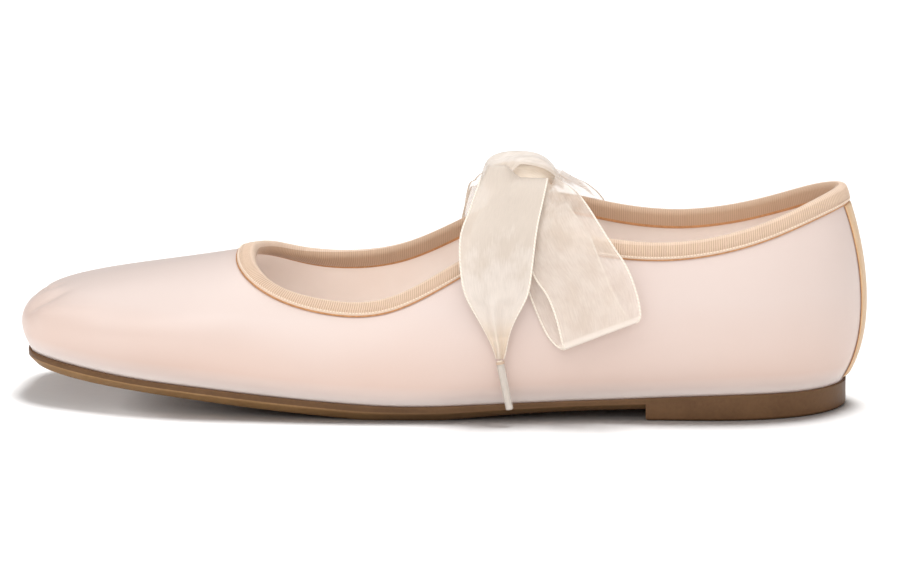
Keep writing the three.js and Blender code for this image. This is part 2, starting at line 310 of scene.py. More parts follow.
class Graph:
    """Node graph of one finish, with short calls that add nodes and join them to the shader."""

    FIXED: ClassVar[tuple[str, ...]] = (
        "Specular IOR Level", "Sheen Weight", "Sheen Roughness", "Coat Weight", "Coat Roughness",
        "Roughness",
    )

    def __init__(
        self,
        name: str,
        specular: float,
        sheen: tuple[float, float] = (0.0, 0.5),
        coat: tuple[float, float] = (0.0, 0.03),
        rough: float = 0.5,
    ) -> None:
        """Starts a material with what is the same all over the surface.

        Args:
            name: Name of the material.
            specular: Strength of its gloss.
            sheen: Weight and roughness of its sheen.
            coat: Weight and roughness of its clear coat.
            rough: Its roughness.
        """
        self.material = bpy.data.materials.new(name)
        self.material.use_nodes = True
        self.tree = self.material.node_tree
        self.shader = self.tree.nodes["Principled BSDF"]
        for socket, value in zip(self.FIXED, (specular, *sheen, *coat, rough)):
            self.shader.inputs[socket].default_value = value

    def add(self, kind: str, inputs: dict[str | int, object], **settings: object) -> bpy.types.Node:
        """Adds a node.

        Args:
            kind: Type of the node, without its ShaderNode prefix.
            inputs: Values or sockets for its inputs.
            settings: Values of its own settings.

        Returns:
            The node.
        """
        node = self.tree.nodes.new("ShaderNode" + kind)
        for key, value in settings.items():
            setattr(node, key, value)
        for key, value in inputs.items():
            if isinstance(value, Socket):
                self.tree.links.new(value, node.inputs[key])
            else:
                node.inputs[key].default_value = value
        return node

    def drive(self, socket: str, source: Socket) -> None:
        """Joins a source to a socket of the shader."""
        self.tree.links.new(source, self.shader.inputs[socket])

    def cloth(self, across: float = 1.0, along: float = 1.0) -> Socket:
        """The piece's own flat lay, in millimetres times a scale each way."""
        lay = self.add("UVMap", {}, uv_map=CLOTH).outputs["UV"]
        return self.add("Mapping", {"Vector": lay, "Scale": (across, along, 1.0)}).outputs["Vector"]

    def space(self) -> Socket:
        """Object coordinates, in millimetres."""
        place = self.add("TexCoord", {}).outputs["Object"]
        return self.add("Mapping", {"Vector": place, "Scale": (1.0 / MM,) * 3}).outputs["Vector"]

    def split(self, vector: Socket, axis: str) -> Socket:
        """One axis of a vector."""
        return self.add("SeparateXYZ", {"Vector": vector}).outputs[axis]

    def noise(self, vector: Socket, scale: float, detail: float = 3.0) -> Socket:
        """Soft random pattern, from 0 to 1."""
        return self.add("TexNoise", {"Vector": vector, "Scale": scale, "Detail": detail}).outputs["Fac"]

    def bands(self, pitch: float, axis: str) -> Socket:
        """Even sine bands on the flat lay, with a pitch in millimetres, across the named axis."""
        inputs = {"Vector": self.cloth(), "Scale": WAVE_PERIOD / pitch, "Distortion": 0.0}
        return self.add("TexWave", inputs, bands_direction=axis).outputs["Fac"]

    def crossed(self, operation: str, pitch: float) -> Socket:
        """Bands across and along the flat lay, put together by an operation."""
        return self.math(operation, self.bands(pitch, "X"), self.bands(pitch, "Y"))

    def ramp(self, source: Socket, *stops: tuple[float, Colour]) -> Socket:
        """Colours along a number.

        Args:
            source: The number.
            stops: Places and their colours.

        Returns:
            The colour.
        """
        node = self.add("ValToRGB", {"Fac": source})
        elements = node.color_ramp.elements
        while len(elements) < len(stops):
            elements.new(0.5)
        for element, (place, colour) in zip(elements, stops):
            element.position = place
            element.color = (*colour, 1.0)
        return node.outputs["Color"]

    def tint(self, source: Socket, *stops: tuple[float, Colour]) -> None:
        """Colours the surface along a number."""
        self.drive("Base Color", self.ramp(source, *stops))

    def span(self, source: Socket, low: float, high: float) -> Socket:
        """A number from 0 to 1 carried to the span from low to high."""
        return self.add("MapRange", {"Value": source, "To Min": low, "To Max": high}).outputs["Result"]

    def roughen(self, source: Socket, low: float, high: float) -> None:
        """Carries the roughness from low to high as a number goes from 0 to 1."""
        self.drive("Roughness", self.span(source, low, high))

    def math(self, operation: str, a: Socket | float, b: Socket | float = 0.0) -> Socket:
        """Arithmetic on two numbers or sockets."""
        return self.add("Math", {0: a, 1: b}, operation=operation).outputs["Value"]

    def weigh(self, *terms: tuple[Socket, float]) -> Socket:
        """Sum of numbers, each times its weight."""
        return reduce(partial(self.math, "ADD"), [self.math("MULTIPLY", *term) for term in terms])

    def mix(self, share: Socket, first: Socket, second: Colour) -> Socket:
        """Carries one colour softly to another as a number goes from 0 to 1."""
        soft = self.add("MapRange", {"Value": share}, interpolation_type="SMOOTHSTEP").outputs["Result"]
        return self.add("MixRGB", {"Fac": soft, "Color1": first, "Color2": (*second, 1.0)}).outputs["Color"]

    def bump(self, height: Socket, depth: float, strength: float) -> None:
        """Raises the surface by a share of a height from 0 to 1 times a depth in millimetres."""
        node = self.add("Bump", {"Height": height, "Distance": depth * MM, "Strength": strength})
        self.drive("Normal", node.outputs["Normal"])


def toned(colour: Colour, factor: float) -> Colour:
    """A colour times a factor, no channel over 1."""
    return tuple(min(1.0, channel * factor) for channel in colour)


@dataclass(frozen=True)
class Satin:
    """Blush satin: close warp floats, faint mottling and a broad soft gloss."""

    # light is the colour high on the wall, where more light falls, and deep the colour low down, painted
    # shade; edge is a painted reflection of the floor along the sole
    light: Colour = (0.685, 0.555, 0.5)
    deep: Colour = (0.665, 0.485, 0.405)
    edge: Colour = (0.75, 0.65, 0.605)
    sheen_tint: Colour = (1.0, 0.95, 0.94)
    float_pitch: float = 0.34
    # Heights over which painted light pales the colour up the wall, and the height of the painted floor
    # reflection above the sole
    painted_light_start: float = 5.0
    painted_light_span: float = 36.0
    rim: float = 9.0

    def material(self) -> Finish:
        """Builds the finish with painted light: paler and whiter higher up the wall, darker and pinker
        towards the sole as painted shade, and paler again along the feather edge as a painted reflection of
        the floor.

        Returns:
            The material.
        """
        graph = Graph("blush_satin", 0.9, sheen=(0.25, 0.4), coat=(0.3, 0.46))
        graph.shader.inputs["Sheen Tint"].default_value = (*self.sheen_tint, 1.0)
        mottle = graph.noise(graph.space(), 0.02, 2.0)
        up = graph.split(graph.cloth(), "Y")
        # Painted light: paler and whiter higher up the wall, pinker in painted shade low down
        height = graph.math("DIVIDE", graph.math("ADD", up, self.painted_light_start), self.painted_light_span)
        body = graph.math("MINIMUM", graph.weigh((mottle, 0.4), (height, 0.6)), 0.8)
        # Painted reflection of the floor: paler again close to the sole
        feather = graph.math("SUBTRACT", 1.15, graph.math("DIVIDE", up, self.rim))
        tone = graph.math("MAXIMUM", body, feather)
        graph.tint(tone, (0.35, self.deep), (0.8, self.light), (1.0, self.edge))
        slubs = graph.noise(graph.cloth(0.12, 1.6), 1.4)
        graph.bump(graph.weigh((graph.bands(self.float_pitch, "X"), 0.35), (slubs, 0.65)), 0.045, 0.5)
        graph.roughen(slubs, 0.42, 0.56)
        return graph.material


@dataclass(frozen=True)
class Lining:
    """Pinkish beige lining cloth with a plain close weave."""

    light: Colour = (0.92, 0.815, 0.745)
    deep: Colour = (0.89, 0.77, 0.695)
    pitch: float = 0.42

    def material(self) -> Finish:
        """Builds the finish.

        Returns:
            The material.
        """
        graph = Graph("lining_cloth", 0.25, sheen=(0.2, 0.5))
        graph.tint(graph.noise(graph.space(), 0.05), (0.3, self.deep), (0.7, self.light))
        weave = graph.crossed("MULTIPLY", self.pitch)
        graph.bump(weave, 0.06, 0.6)
        graph.roughen(weave, 0.75, 0.6)
        return graph.material


@dataclass(frozen=True)
class Grosgrain:
    """Peach ribbed binding tape, darker between its ribs as painted shade, with fine threads across them."""

    light: Colour = (0.74, 0.55, 0.41)
    deep: Colour = (0.48, 0.315, 0.205)
    thread: float = 0.3

    def material(self, name: str, pitch: float, share: float) -> Finish:
        """Builds the finish.

        Args:
            name: Name of the material.
            pitch: Length from rib to rib, in millimetres.
            share: Share of the colour that follows the ribs, as painted shade between them.

        Returns:
            The material.
        """
        graph = Graph(name, 0.35, sheen=(0.3, 0.45))
        mottle = graph.noise(graph.cloth(0.5, 0.1), 0.6)
        # Painted shade: the colour darkens between the ribs
        ribs = graph.weigh((graph.bands(pitch, "X"), share), (mottle, 0.25))
        body = graph.math("ADD", ribs, 0.6 * (0.75 - share))
        graph.tint(body, (0.1, self.deep), (0.7, self.light))
        threads = graph.bands(self.thread, "Y")
        graph.bump(threads, 0.05, 0.5)
        graph.roughen(threads, 0.62, 0.5)
        return graph.material


@dataclass(frozen=True)
class EdgeLine:
    """Dark orange line along the cut edge below the binding tape and beside the stay tape."""

    light: Colour = (0.62, 0.31, 0.14)
    deep: Colour = (0.5, 0.235, 0.1)

    def material(self) -> Finish:
        """Builds the finish.

        Returns:
            The material.
        """
        graph = Graph("burnt_edge", 0.3, rough=0.6)
        fibre = graph.noise(graph.space(), 1.2)
        graph.tint(fibre, (0.35, self.deep), (0.65, self.light))
        graph.bump(fibre, 0.06, 0.5)
        return graph.material


@dataclass(frozen=True)
class StayTape:
    """Tan tape down the back seam, with fine lines along its length."""

    light: Colour = (0.74, 0.51, 0.31)
    deep: Colour = (0.62, 0.41, 0.235)
    line_pitch: float = 0.5

    def material(self) -> Finish:
        """Builds the finish.

        Returns:
            The material.
        """
        graph = Graph("tan_stay_tape", 0.35, sheen=(0.2, 0.45))
        graph.tint(graph.noise(graph.cloth(1.0, 0.15), 0.8), (0.3, self.deep), (0.7, self.light))
        lines = graph.bands(self.line_pitch, "X")
        graph.bump(lines, 0.1, 0.6)
        graph.roughen(lines, 0.6, 0.48)
        return graph.material


@dataclass(frozen=True)
class SoleLeather:
    """Brown sole: closed grain, slow changes of tone and, on its bevel, painted shade that darkens it
    towards the arch.
    """

    light: Colour = (0.2, 0.098, 0.042)
    deep: Colour = (0.135, 0.06, 0.024)
    # Colour that painted shade gives the bevel at the arch, and the length over which it darkens
    painted_waist_shade: Colour = (0.15, 0.08, 0.034)
    fade: float = 55.0

    def material(self, name: str, tone: float, painted_shade_at: float | None = None) -> Finish:
        """Builds the finish.

        Args:
            name: Name of the material.
            tone: Factor on its colours.
            painted_shade_at: Place along the foot where the painted shade has darkened it fully, if it does.

        Returns:
            The material.
        """
        graph = Graph(name, 0.25, coat=(0.04, 0.35))
        grain = graph.noise(graph.space(), 0.9, 5.0)
        both = graph.weigh((grain, 0.35), (graph.noise(graph.space(), 0.06), 0.65))
        colour = graph.ramp(both, (0.35, toned(self.deep, tone)), (0.65, toned(self.light, tone)))
        # Painted shade: the colour darkens along the foot towards the arch
        if painted_shade_at is not None:
            behind = graph.math("SUBTRACT", graph.split(graph.space(), "X"), painted_shade_at - self.fade)
            colour = graph.mix(graph.math("DIVIDE", behind, self.fade), colour, self.painted_waist_shade)
        graph.drive("Base Color", colour)
        graph.roughen(grain, 0.4, 0.62)
        graph.bump(grain, 0.12, 0.5)
        return graph.material


@dataclass(frozen=True)
class InsoleLeather:
    """Pale beige insole leather with a fine pebble."""

    light: Colour = (0.93, 0.83, 0.76)
    deep: Colour = (0.89, 0.77, 0.69)

    def material(self) -> Finish:
        """Builds the finish.

        Returns:
            The material.
        """
        graph = Graph("insole_leather", 0.35)
        graph.tint(graph.noise(graph.space(), 0.05), (0.3, self.deep), (0.7, self.light))
        cells = graph.add("TexVoronoi", {"Vector": graph.space(), "Scale": 1.1}, feature="SMOOTH_F1")
        pebble = cells.outputs["Distance"]
        graph.bump(pebble, 0.12, 0.5)
        graph.roughen(pebble, 0.5, 0.66)
        return graph.material


@dataclass(frozen=True)
class Organza:
    """Sheer cream ribbon: crossed threads, faint wavering threads along its length, see-through gaps."""

    light: Colour = (0.81, 0.72, 0.64)
    deep: Colour = (0.72, 0.62, 0.53)
    rolled: Colour = (0.78, 0.655, 0.53)
    pitch: float = 0.3
    pressed: float = 4.0

    def material(
        self,
        name: str,
        clear: float,
        tone: float = 1.0,
        fold: float | None = None,
        roll: tuple[float, float] | None = None,
    ) -> Finish:
        """Builds the finish.

        Args:
            name: Name of the material.
            clear: Opacity at its middle, from 0 to 1.
            tone: Factor on its colours, painted light where it lightens runs that lie in shade.
            fold: Place along the ribbon where it is pressed double and looks paler, in millimetres.
            roll: Places along the ribbon where it starts to be rolled and where the roll is close.

        Returns:
            The material.
        """
        graph = Graph(name, 0.45, sheen=(0.3, 0.4))
        threads = graph.noise(graph.cloth(1.0, 0.12), 2.4)
        drift = graph.noise(graph.cloth(0.2, 0.15), 1.0, 4.0)
        crush = graph.noise(graph.cloth(0.5, 0.32), 1.0)
        shade = graph.weigh((drift, 0.7), (threads, 0.3))
        mesh = graph.crossed("MAXIMUM", self.pitch)
        cover = graph.weigh((mesh, 0.4), (threads, 0.6))
        cover = graph.span(cover, clear - 0.1, min(1.0, clear + 0.1))
        along = graph.split(graph.cloth(), "Y")
        close = None
        if fold is not None:
            away = graph.math("ABSOLUTE", graph.math("SUBTRACT", along, fold))
            close = graph.math("SUBTRACT", 1.25, graph.math("DIVIDE", away, self.pressed))
            shade = graph.math("MAXIMUM", shade, close)
        if roll is not None:
            slope = graph.math("SUBTRACT", graph.math("DIVIDE", along, roll[0]), 0.72)
            shade = graph.math("ADD", shade, slope)
        deep, light = toned(self.deep, tone), toned(self.light, tone)
        pale = toned(light, 1.12 if fold is None else 0.93)
        colour = graph.ramp(shade, (0.4, deep), (0.6, light), (1.0, pale))
        if roll is not None:
            close = graph.math("DIVIDE", graph.math("SUBTRACT", along, roll[0]), roll[1] - roll[0])
            colour = graph.mix(close, colour, self.rolled)
        if close is not None:
            cover = graph.math("MAXIMUM", cover, graph.math("MINIMUM", close, 0.95))
        graph.drive("Base Color", colour)
        graph.drive("Alpha", cover)
        graph.bump(graph.weigh((mesh, 0.1), (threads, 0.2), (crush, 0.7)), 0.22, 0.6)
        graph.roughen(threads, 0.36, 0.48)
        return graph.material


@dataclass(frozen=True)
class Selvedge:
    """Bright close-woven edge of the ribbon."""

    light: Colour = (0.9, 0.82, 0.72)
    deep: Colour = (0.82, 0.72, 0.61)
    twill_pitch: float = 0.55

    def material(self) -> Finish:
        """Builds the finish.

        Returns:
            The material.
        """
        graph = Graph("ribbon_selvedge", 0.5, sheen=(0.2, 0.35))
        twill = graph.bands(self.twill_pitch, "DIAGONAL")
        graph.tint(twill, (0.2, self.deep), (0.8, self.light))
        graph.bump(twill, 0.06, 0.6)
        graph.roughen(twill, 0.5, 0.4)
        return graph.material


@dataclass(frozen=True)
class Thread:
    """Sewing thread with its twist."""

    light: Colour = (0.95, 0.8, 0.66)
    deep: Colour = (0.86, 0.69, 0.54)
    twist_pitch: float = 0.35

    def material(self) -> Finish:
        """Builds the finish.

        Returns:
            The material.
        """
        graph = Graph("sewing_thread", 0.4, rough=0.5)
        twist = graph.bands(self.twist_pitch, "DIAGONAL")
        graph.tint(twist, (0.2, self.deep), (0.8, self.light))
        graph.bump(twist, 0.08, 0.6)
        return graph.material


@dataclass(frozen=True)
class ClearSleeve:
    """Clear plastic sleeve of the aglet, faintly milky with drawn streaks."""

    colour: Colour = (0.8, 0.73, 0.66)
    streak: float = 0.93

    def material(self) -> Finish:
        """Builds the finish.

        Returns:
            The material.
        """
        graph = Graph("clear_sleeve", 0.6, coat=(0.4, 0.08))
        drawn = graph.noise(graph.cloth(1.0, 0.06), 0.8)
        graph.tint(drawn, (0.3, toned(self.colour, self.streak)), (0.7, self.colour))
        graph.drive("Alpha", graph.span(drawn, 0.35, 0.6))
        graph.roughen(drawn, 0.12, 0.3)
        return graph.material


@dataclass
class Last:
    """Shape of the foot form that every piece of the upper follows.

    The rows run from the heel back along the outer side to the toe and back along the inner side. Each
    gives where the wall meets the sole in plan, how far it first swells out and rises, where the topline
    is, and how far the wall runs out and drops below it.
    """

    ROWS: ClassVar[tuple[tuple[float, ...], ...]] = (
        (118.5, 0, 8.6, 12, 117.6, 0, 64.8, 8.2, 22),
        (110.5, -17.2, 8.2, 12, 109.5, -14, 62.1, 7.6, 20),
        (91, -26.8, 7, 12, 92.5, -21.8, 55.6, 7.5, 18),
        (67, -29, 6.5, 12, 71, -25, 51.3, 7.5, 17),
        (43, -30.5, 6.5, 12, 49, -26.3, 52.3, 4.5, 18),
        (20, -34, 6.5, 11, 28, -26.5, 54, 4, 18),
        (-3, -37, 6.5, 10, 7, -27.2, 45.2, 5.5, 14),
        (-27, -38, 6, 10, -13, -28.8, 34.4, 8, 9),
        (-51, -36.5, 6, 10, -31, -28.6, 32.9, 10.5, 8),
        (-75, -33, 6, 12, -45.5, -25.2, 35.6, 19, 8.5),
        (-99, -27, 7, 14.7, -53.5, -18.8, 39.6, 37.4, 10.4),
        (-120.8, -14.5, 11.5, 19.6, -57, -9, 42.4, 45, 10.2),
        (-123.2, 4, 12, 20.6, -57.6, 1.5, 43.4, 52, 10.7),
        (-119.6, 22.8, 11.5, 19.6, -57, 12, 42.2, 45, 10.2),
        (-99, 33.5, 7, 14.7, -53, 20.5, 40.6, 37.4, 10.4),
        (-74, 38, 6, 13, -44.5, 26.8, 37.8, 15, 10.5),
        (-50, 39.5, 5.5, 11, -30, 29.6, 36.7, 6.5, 12),
        (-26, 36, 6, 11, -13, 29.8, 39.8, 4, 13),
        (-2, 28, 8, 12, 6, 28, 48.9, 3.5, 16),
        (21, 23, 9, 14, 26, 25.5, 56.2, 3.5, 18),
        (44, 22, 9, 14, 48, 24, 53.7, 3.5, 18),
        (68, 24.5, 8, 13, 70.5, 22.8, 52.2, 4, 18),
        (92, 25.5, 7, 12, 92.5, 20, 56.3, 6, 18),
        (111, 16.6, 8.2, 12, 109.5, 12.6, 62.4, 7.6, 20),
    )
    HEIGHTS: ClassVar[tuple[tuple[float, float], ...]] = (
        (14.9, 11.0), (12.3, 7.7), (9.95, 5.6), (8.45, 3.9), (7.0, 2.2), (5.65, 0.7), (4.7, -0.5),
        (5.05, 0.6), (5.7, 1.9), (6.3, 2.6), (7.25, 3.2), (7.9, 3.8), (7.8, 4.2), (7.8, 4.4),
    )
    wall: float = 1.6
    level_rise: float = 0.12
    first_height_x: float = -130.0
    height_step: float = 20.0
    fine: int = 4001

    def __post_init__(self) -> None:
        """Fits the splines."""
        self.rows = Spline(self.ROWS, True)
        self.heights = Spline(self.HEIGHTS, False)

    @property
    def turns(self) -> int:
        """Places round the foot, one for each row."""
        return len(self.ROWS)

    def levels(self, x: Array) -> Array:
        """Heights of the top and of the underside of the sole, as the table gives them."""
        return self.heights((x - self.first_height_x) / self.height_step)

    def feather_height(self, x: Array) -> Array:
        """Height at which the wall meets the sole."""
        return self.levels(x)[..., 0]

    def tread_height(self, x: Array) -> Array:
        """Height of the underside of the sole, level where it meets the floor."""
        return np.maximum(self.levels(x)[..., 1], 0.0)

    def plan_normal(self, place: Array, columns: tuple[int, int]) -> Array:
        """Outward level normal of the curve that two columns draw round the foot.

        Args:
            place: Places round the foot.
            columns: The columns of x and y.

        Returns:
            Unit vectors, which are the curve's direction turned a quarter turn.
        """
        step = self.rows(place + STEP) - self.rows(place - STEP)
        normal = np.stack([-step[..., columns[1]], step[..., columns[0]], 0.0 * step[..., 0]], axis=-1)
        return unit(normal)

    def outline(self, place: Array, out: float | Array, height: Callable[[Array], Array]) -> Array:
        """Line where the wall meets the sole, moved outwards in plan.

        Args:
            place: Places round the foot.
            out: How far it is moved.
            height: Height at each x.

        Returns:
            Points.
        """
        row = self.rows(place)
        flat = row[..., :2] + self.plan_normal(place, (0, 1))[..., :2] * np.asarray(out)[..., None]
        return np.concatenate([flat, height(flat[..., 0])[..., None]], axis=-1)

    def face(self, place: Array, rise: Array) -> Array:
        """Outer face of the wall: at each place, a cubic curve from the sole to the topline.

        Its four control points are the sole line, a point swollen out and up from it, a point flared out
        and down from the topline, and the topline.

        Args:
            place: Places round the foot.
            rise: From 0 at the sole to 1 at the topline.

        Returns:
            Points.
        """
        place, rise = np.broadcast_arrays(np.asarray(place, float), np.asarray(rise, float))
        row = self.rows(place)
        foot = self.outline(place, 0.0, self.feather_height)
        top = row[..., 4:7]
        up = np.array([0.0, 0.0, 1.0])
        swell = foot + self.plan_normal(place, (0, 1)) * row[..., 2:3] + up * row[..., 3:4]
        flare = top + self.plan_normal(place, (4, 5)) * row[..., 7:8] - up * row[..., 8:9]
        t = rise[..., None]
        u = 1.0 - t
        return u**3 * foot + 3 * u * u * t * swell + 3 * u * t * t * flare + t**3 * top

    def normal(self, place: Array, rise: Array) -> Array:
        """Outward normal of the wall, from the cross product of its two directions, level at the sole.

        Args:
            place: Places round the foot.
            rise: From 0 at the sole to 1 at the topline.

        Returns:
            Unit vectors.
        """
        place, rise = np.broadcast_arrays(np.asarray(place, float), np.asarray(rise, float))
        along = self.face(place + STEP, rise) - self.face(place - STEP, rise)
        low, high = (np.clip(rise + step, 0.0, 1.0) for step in (-STEP, STEP))
        normal = unit(np.cross(self.face(place, high) - self.face(place, low), along))
        normal[..., 2] *= smooth(rise, 0.0, self.level_rise)
        return unit(normal)

    def point(self, place: Array, rise: Array, out: float | Array) -> Array:
        """Outer face of the wall moved along its normal."""
        return self.face(place, rise) + self.normal(place, rise) * np.asarray(out)[..., None]

    def leg_end(self, place: Array, width: float | Array) -> Array:
        """Where a band of a given width below the topline ends, from 0 to 1."""
        row = self.rows(place)
        return 1.0 - width / (3.0 * np.hypot(row[..., 7], row[..., 8]))

    def even_places(self, count: int, rise: float, out: float) -> Array:
        """Places round the foot that are evenly spaced by length along the wall at one rise.

        Args:
            count: Number of spaces.
            rise: From 0 at the sole to 1 at the topline.
            out: Distance off the wall.

        Returns:
            count + 1 places, the last one a full turn on from the first.
        """
        fine = np.linspace(0.0, self.turns, self.fine)
        length = running(self.point(fine, np.full_like(fine, rise), out))
        return np.interp(np.linspace(0.0, length[-1], count + 1), length, fine)


@dataclass(frozen=True)
class Crease:
    """Soft trough or ridge on the wall, along a line of places round the foot and rises up it.

    Attributes:
        line: Places and rises of the line's stations.
        width: Half width of the fall on each side, in millimetres.
        depth: Depth at its middle, in millimetres, less than zero for a ridge.
    """

    line: tuple[tuple[float, float], ...]
    width: float
    depth: float


@dataclass
class Upper:
    """Satin upper with its lining: one hollow shell."""

    last: Last
    CREASES: ClassVar[tuple[Crease, ...]] = (
        Crease(((11.19, 0.25), (11.15, 0.29), (11.14, 0.33), (11.12, 0.374), (11.13, 0.412), (11.16, 0.446),
                (11.2, 0.478), (11.21, 0.508)), 1.3, 1.05),
        Crease(((13.0, 0.33), (12.75, 0.35), (12.5, 0.36), (12.3, 0.345), (12.0, 0.35), (11.77, 0.374),
                (11.64, 0.406), (11.63, 0.434), (11.63, 0.464), (11.63, 0.496)), 1.5, 1.15),
        Crease(((11.36, 0.27), (11.35, 0.31), (11.36, 0.345), (11.38, 0.382), (11.38, 0.422), (11.38, 0.462),
                (11.38, 0.494)), 2.0, -0.6),
        Crease(((11.13, 0.286), (10.99, 0.252), (10.88, 0.188), (10.83, 0.098)), 1.3, 0.35),
        Crease(((11.04, 0.266), (10.98, 0.282), (10.9, 0.324), (10.78, 0.374), (10.62, 0.438),
                (10.46, 0.496)), 3.0, -0.9),
        Crease(((12.8, 0.24), (12.84, 0.33), (12.86, 0.42), (12.85, 0.52)), 1.6, 0.6),
        Crease(((13.05, 0.26), (13.15, 0.34), (13.2, 0.42), (13.26, 0.5)), 2.4, -0.3),
    )
    columns: int = 384
    outside: int = 64
    inside: int = 34
    seat: float = 0.25
    crease_points: int = 41
    crease_end: float = 0.02
    crease_fade: float = 0.6

    def relief(self, points: Array) -> Array:
        """Height of the creases over the smooth wall.

        A crease falls off as exp(-(d / width)²) with the distance d from its line, and fades towards the
        line's ends as a power of half a sine wave.

        Args:
            points: Points of the smooth wall.

        Returns:
            Heights along the normal, in millimetres.
        """
        height = np.zeros(points.shape[:-1])
        for crease in self.CREASES:
            share = np.linspace(0.0, 1.0, self.crease_points)
            inside = np.clip(share, self.crease_end, 1.0 - self.crease_end)
            stations = Spline(crease.line, False)(share * (len(crease.line) - 1))
            line = self.last.face(stations[:, 0], stations[:, 1])
            apart = np.linalg.norm(points[..., None, :] - line, axis=-1)
            nearest = apart.argmin(-1)
            fade = np.sin(np.pi * inside) ** self.crease_fade
            height -= crease.depth * fade[nearest] * np.exp(-((apart.min(-1) / crease.width) ** 2))
        return height

    def build(self) -> Piece:
        """Carries a profile round the foot: up the outside, over the rim and down the inside.

        Returns:
            The piece.
        """
        place = np.linspace(0.0, self.last.turns, self.columns + 1)[None, :]
        rise = np.linspace(0.0, 1.0, self.outside)[:, None]
        outer = self.last.face(place, rise)
        outer = outer + self.last.normal(place, rise) * self.relief(outer)[..., None]
        outer[0, :, 2] -= self.seat
        down = np.linspace(1.0, 0.0, self.inside)[:, None]
        inner = self.last.point(place, down, -self.last.wall)
        inner[-1, :, 2] -= self.seat
        points = np.concatenate([outer, inner, outer[:1]])
        slots = np.concatenate([np.zeros(self.outside - 1), np.ones(self.inside + 1)])
        finishes = [Satin().material(), Lining().material()]
        piece = make_piece("upper_shell", [Patch(points, slot=slots, flip=True)], finishes)
        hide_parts("upper")
        return piece


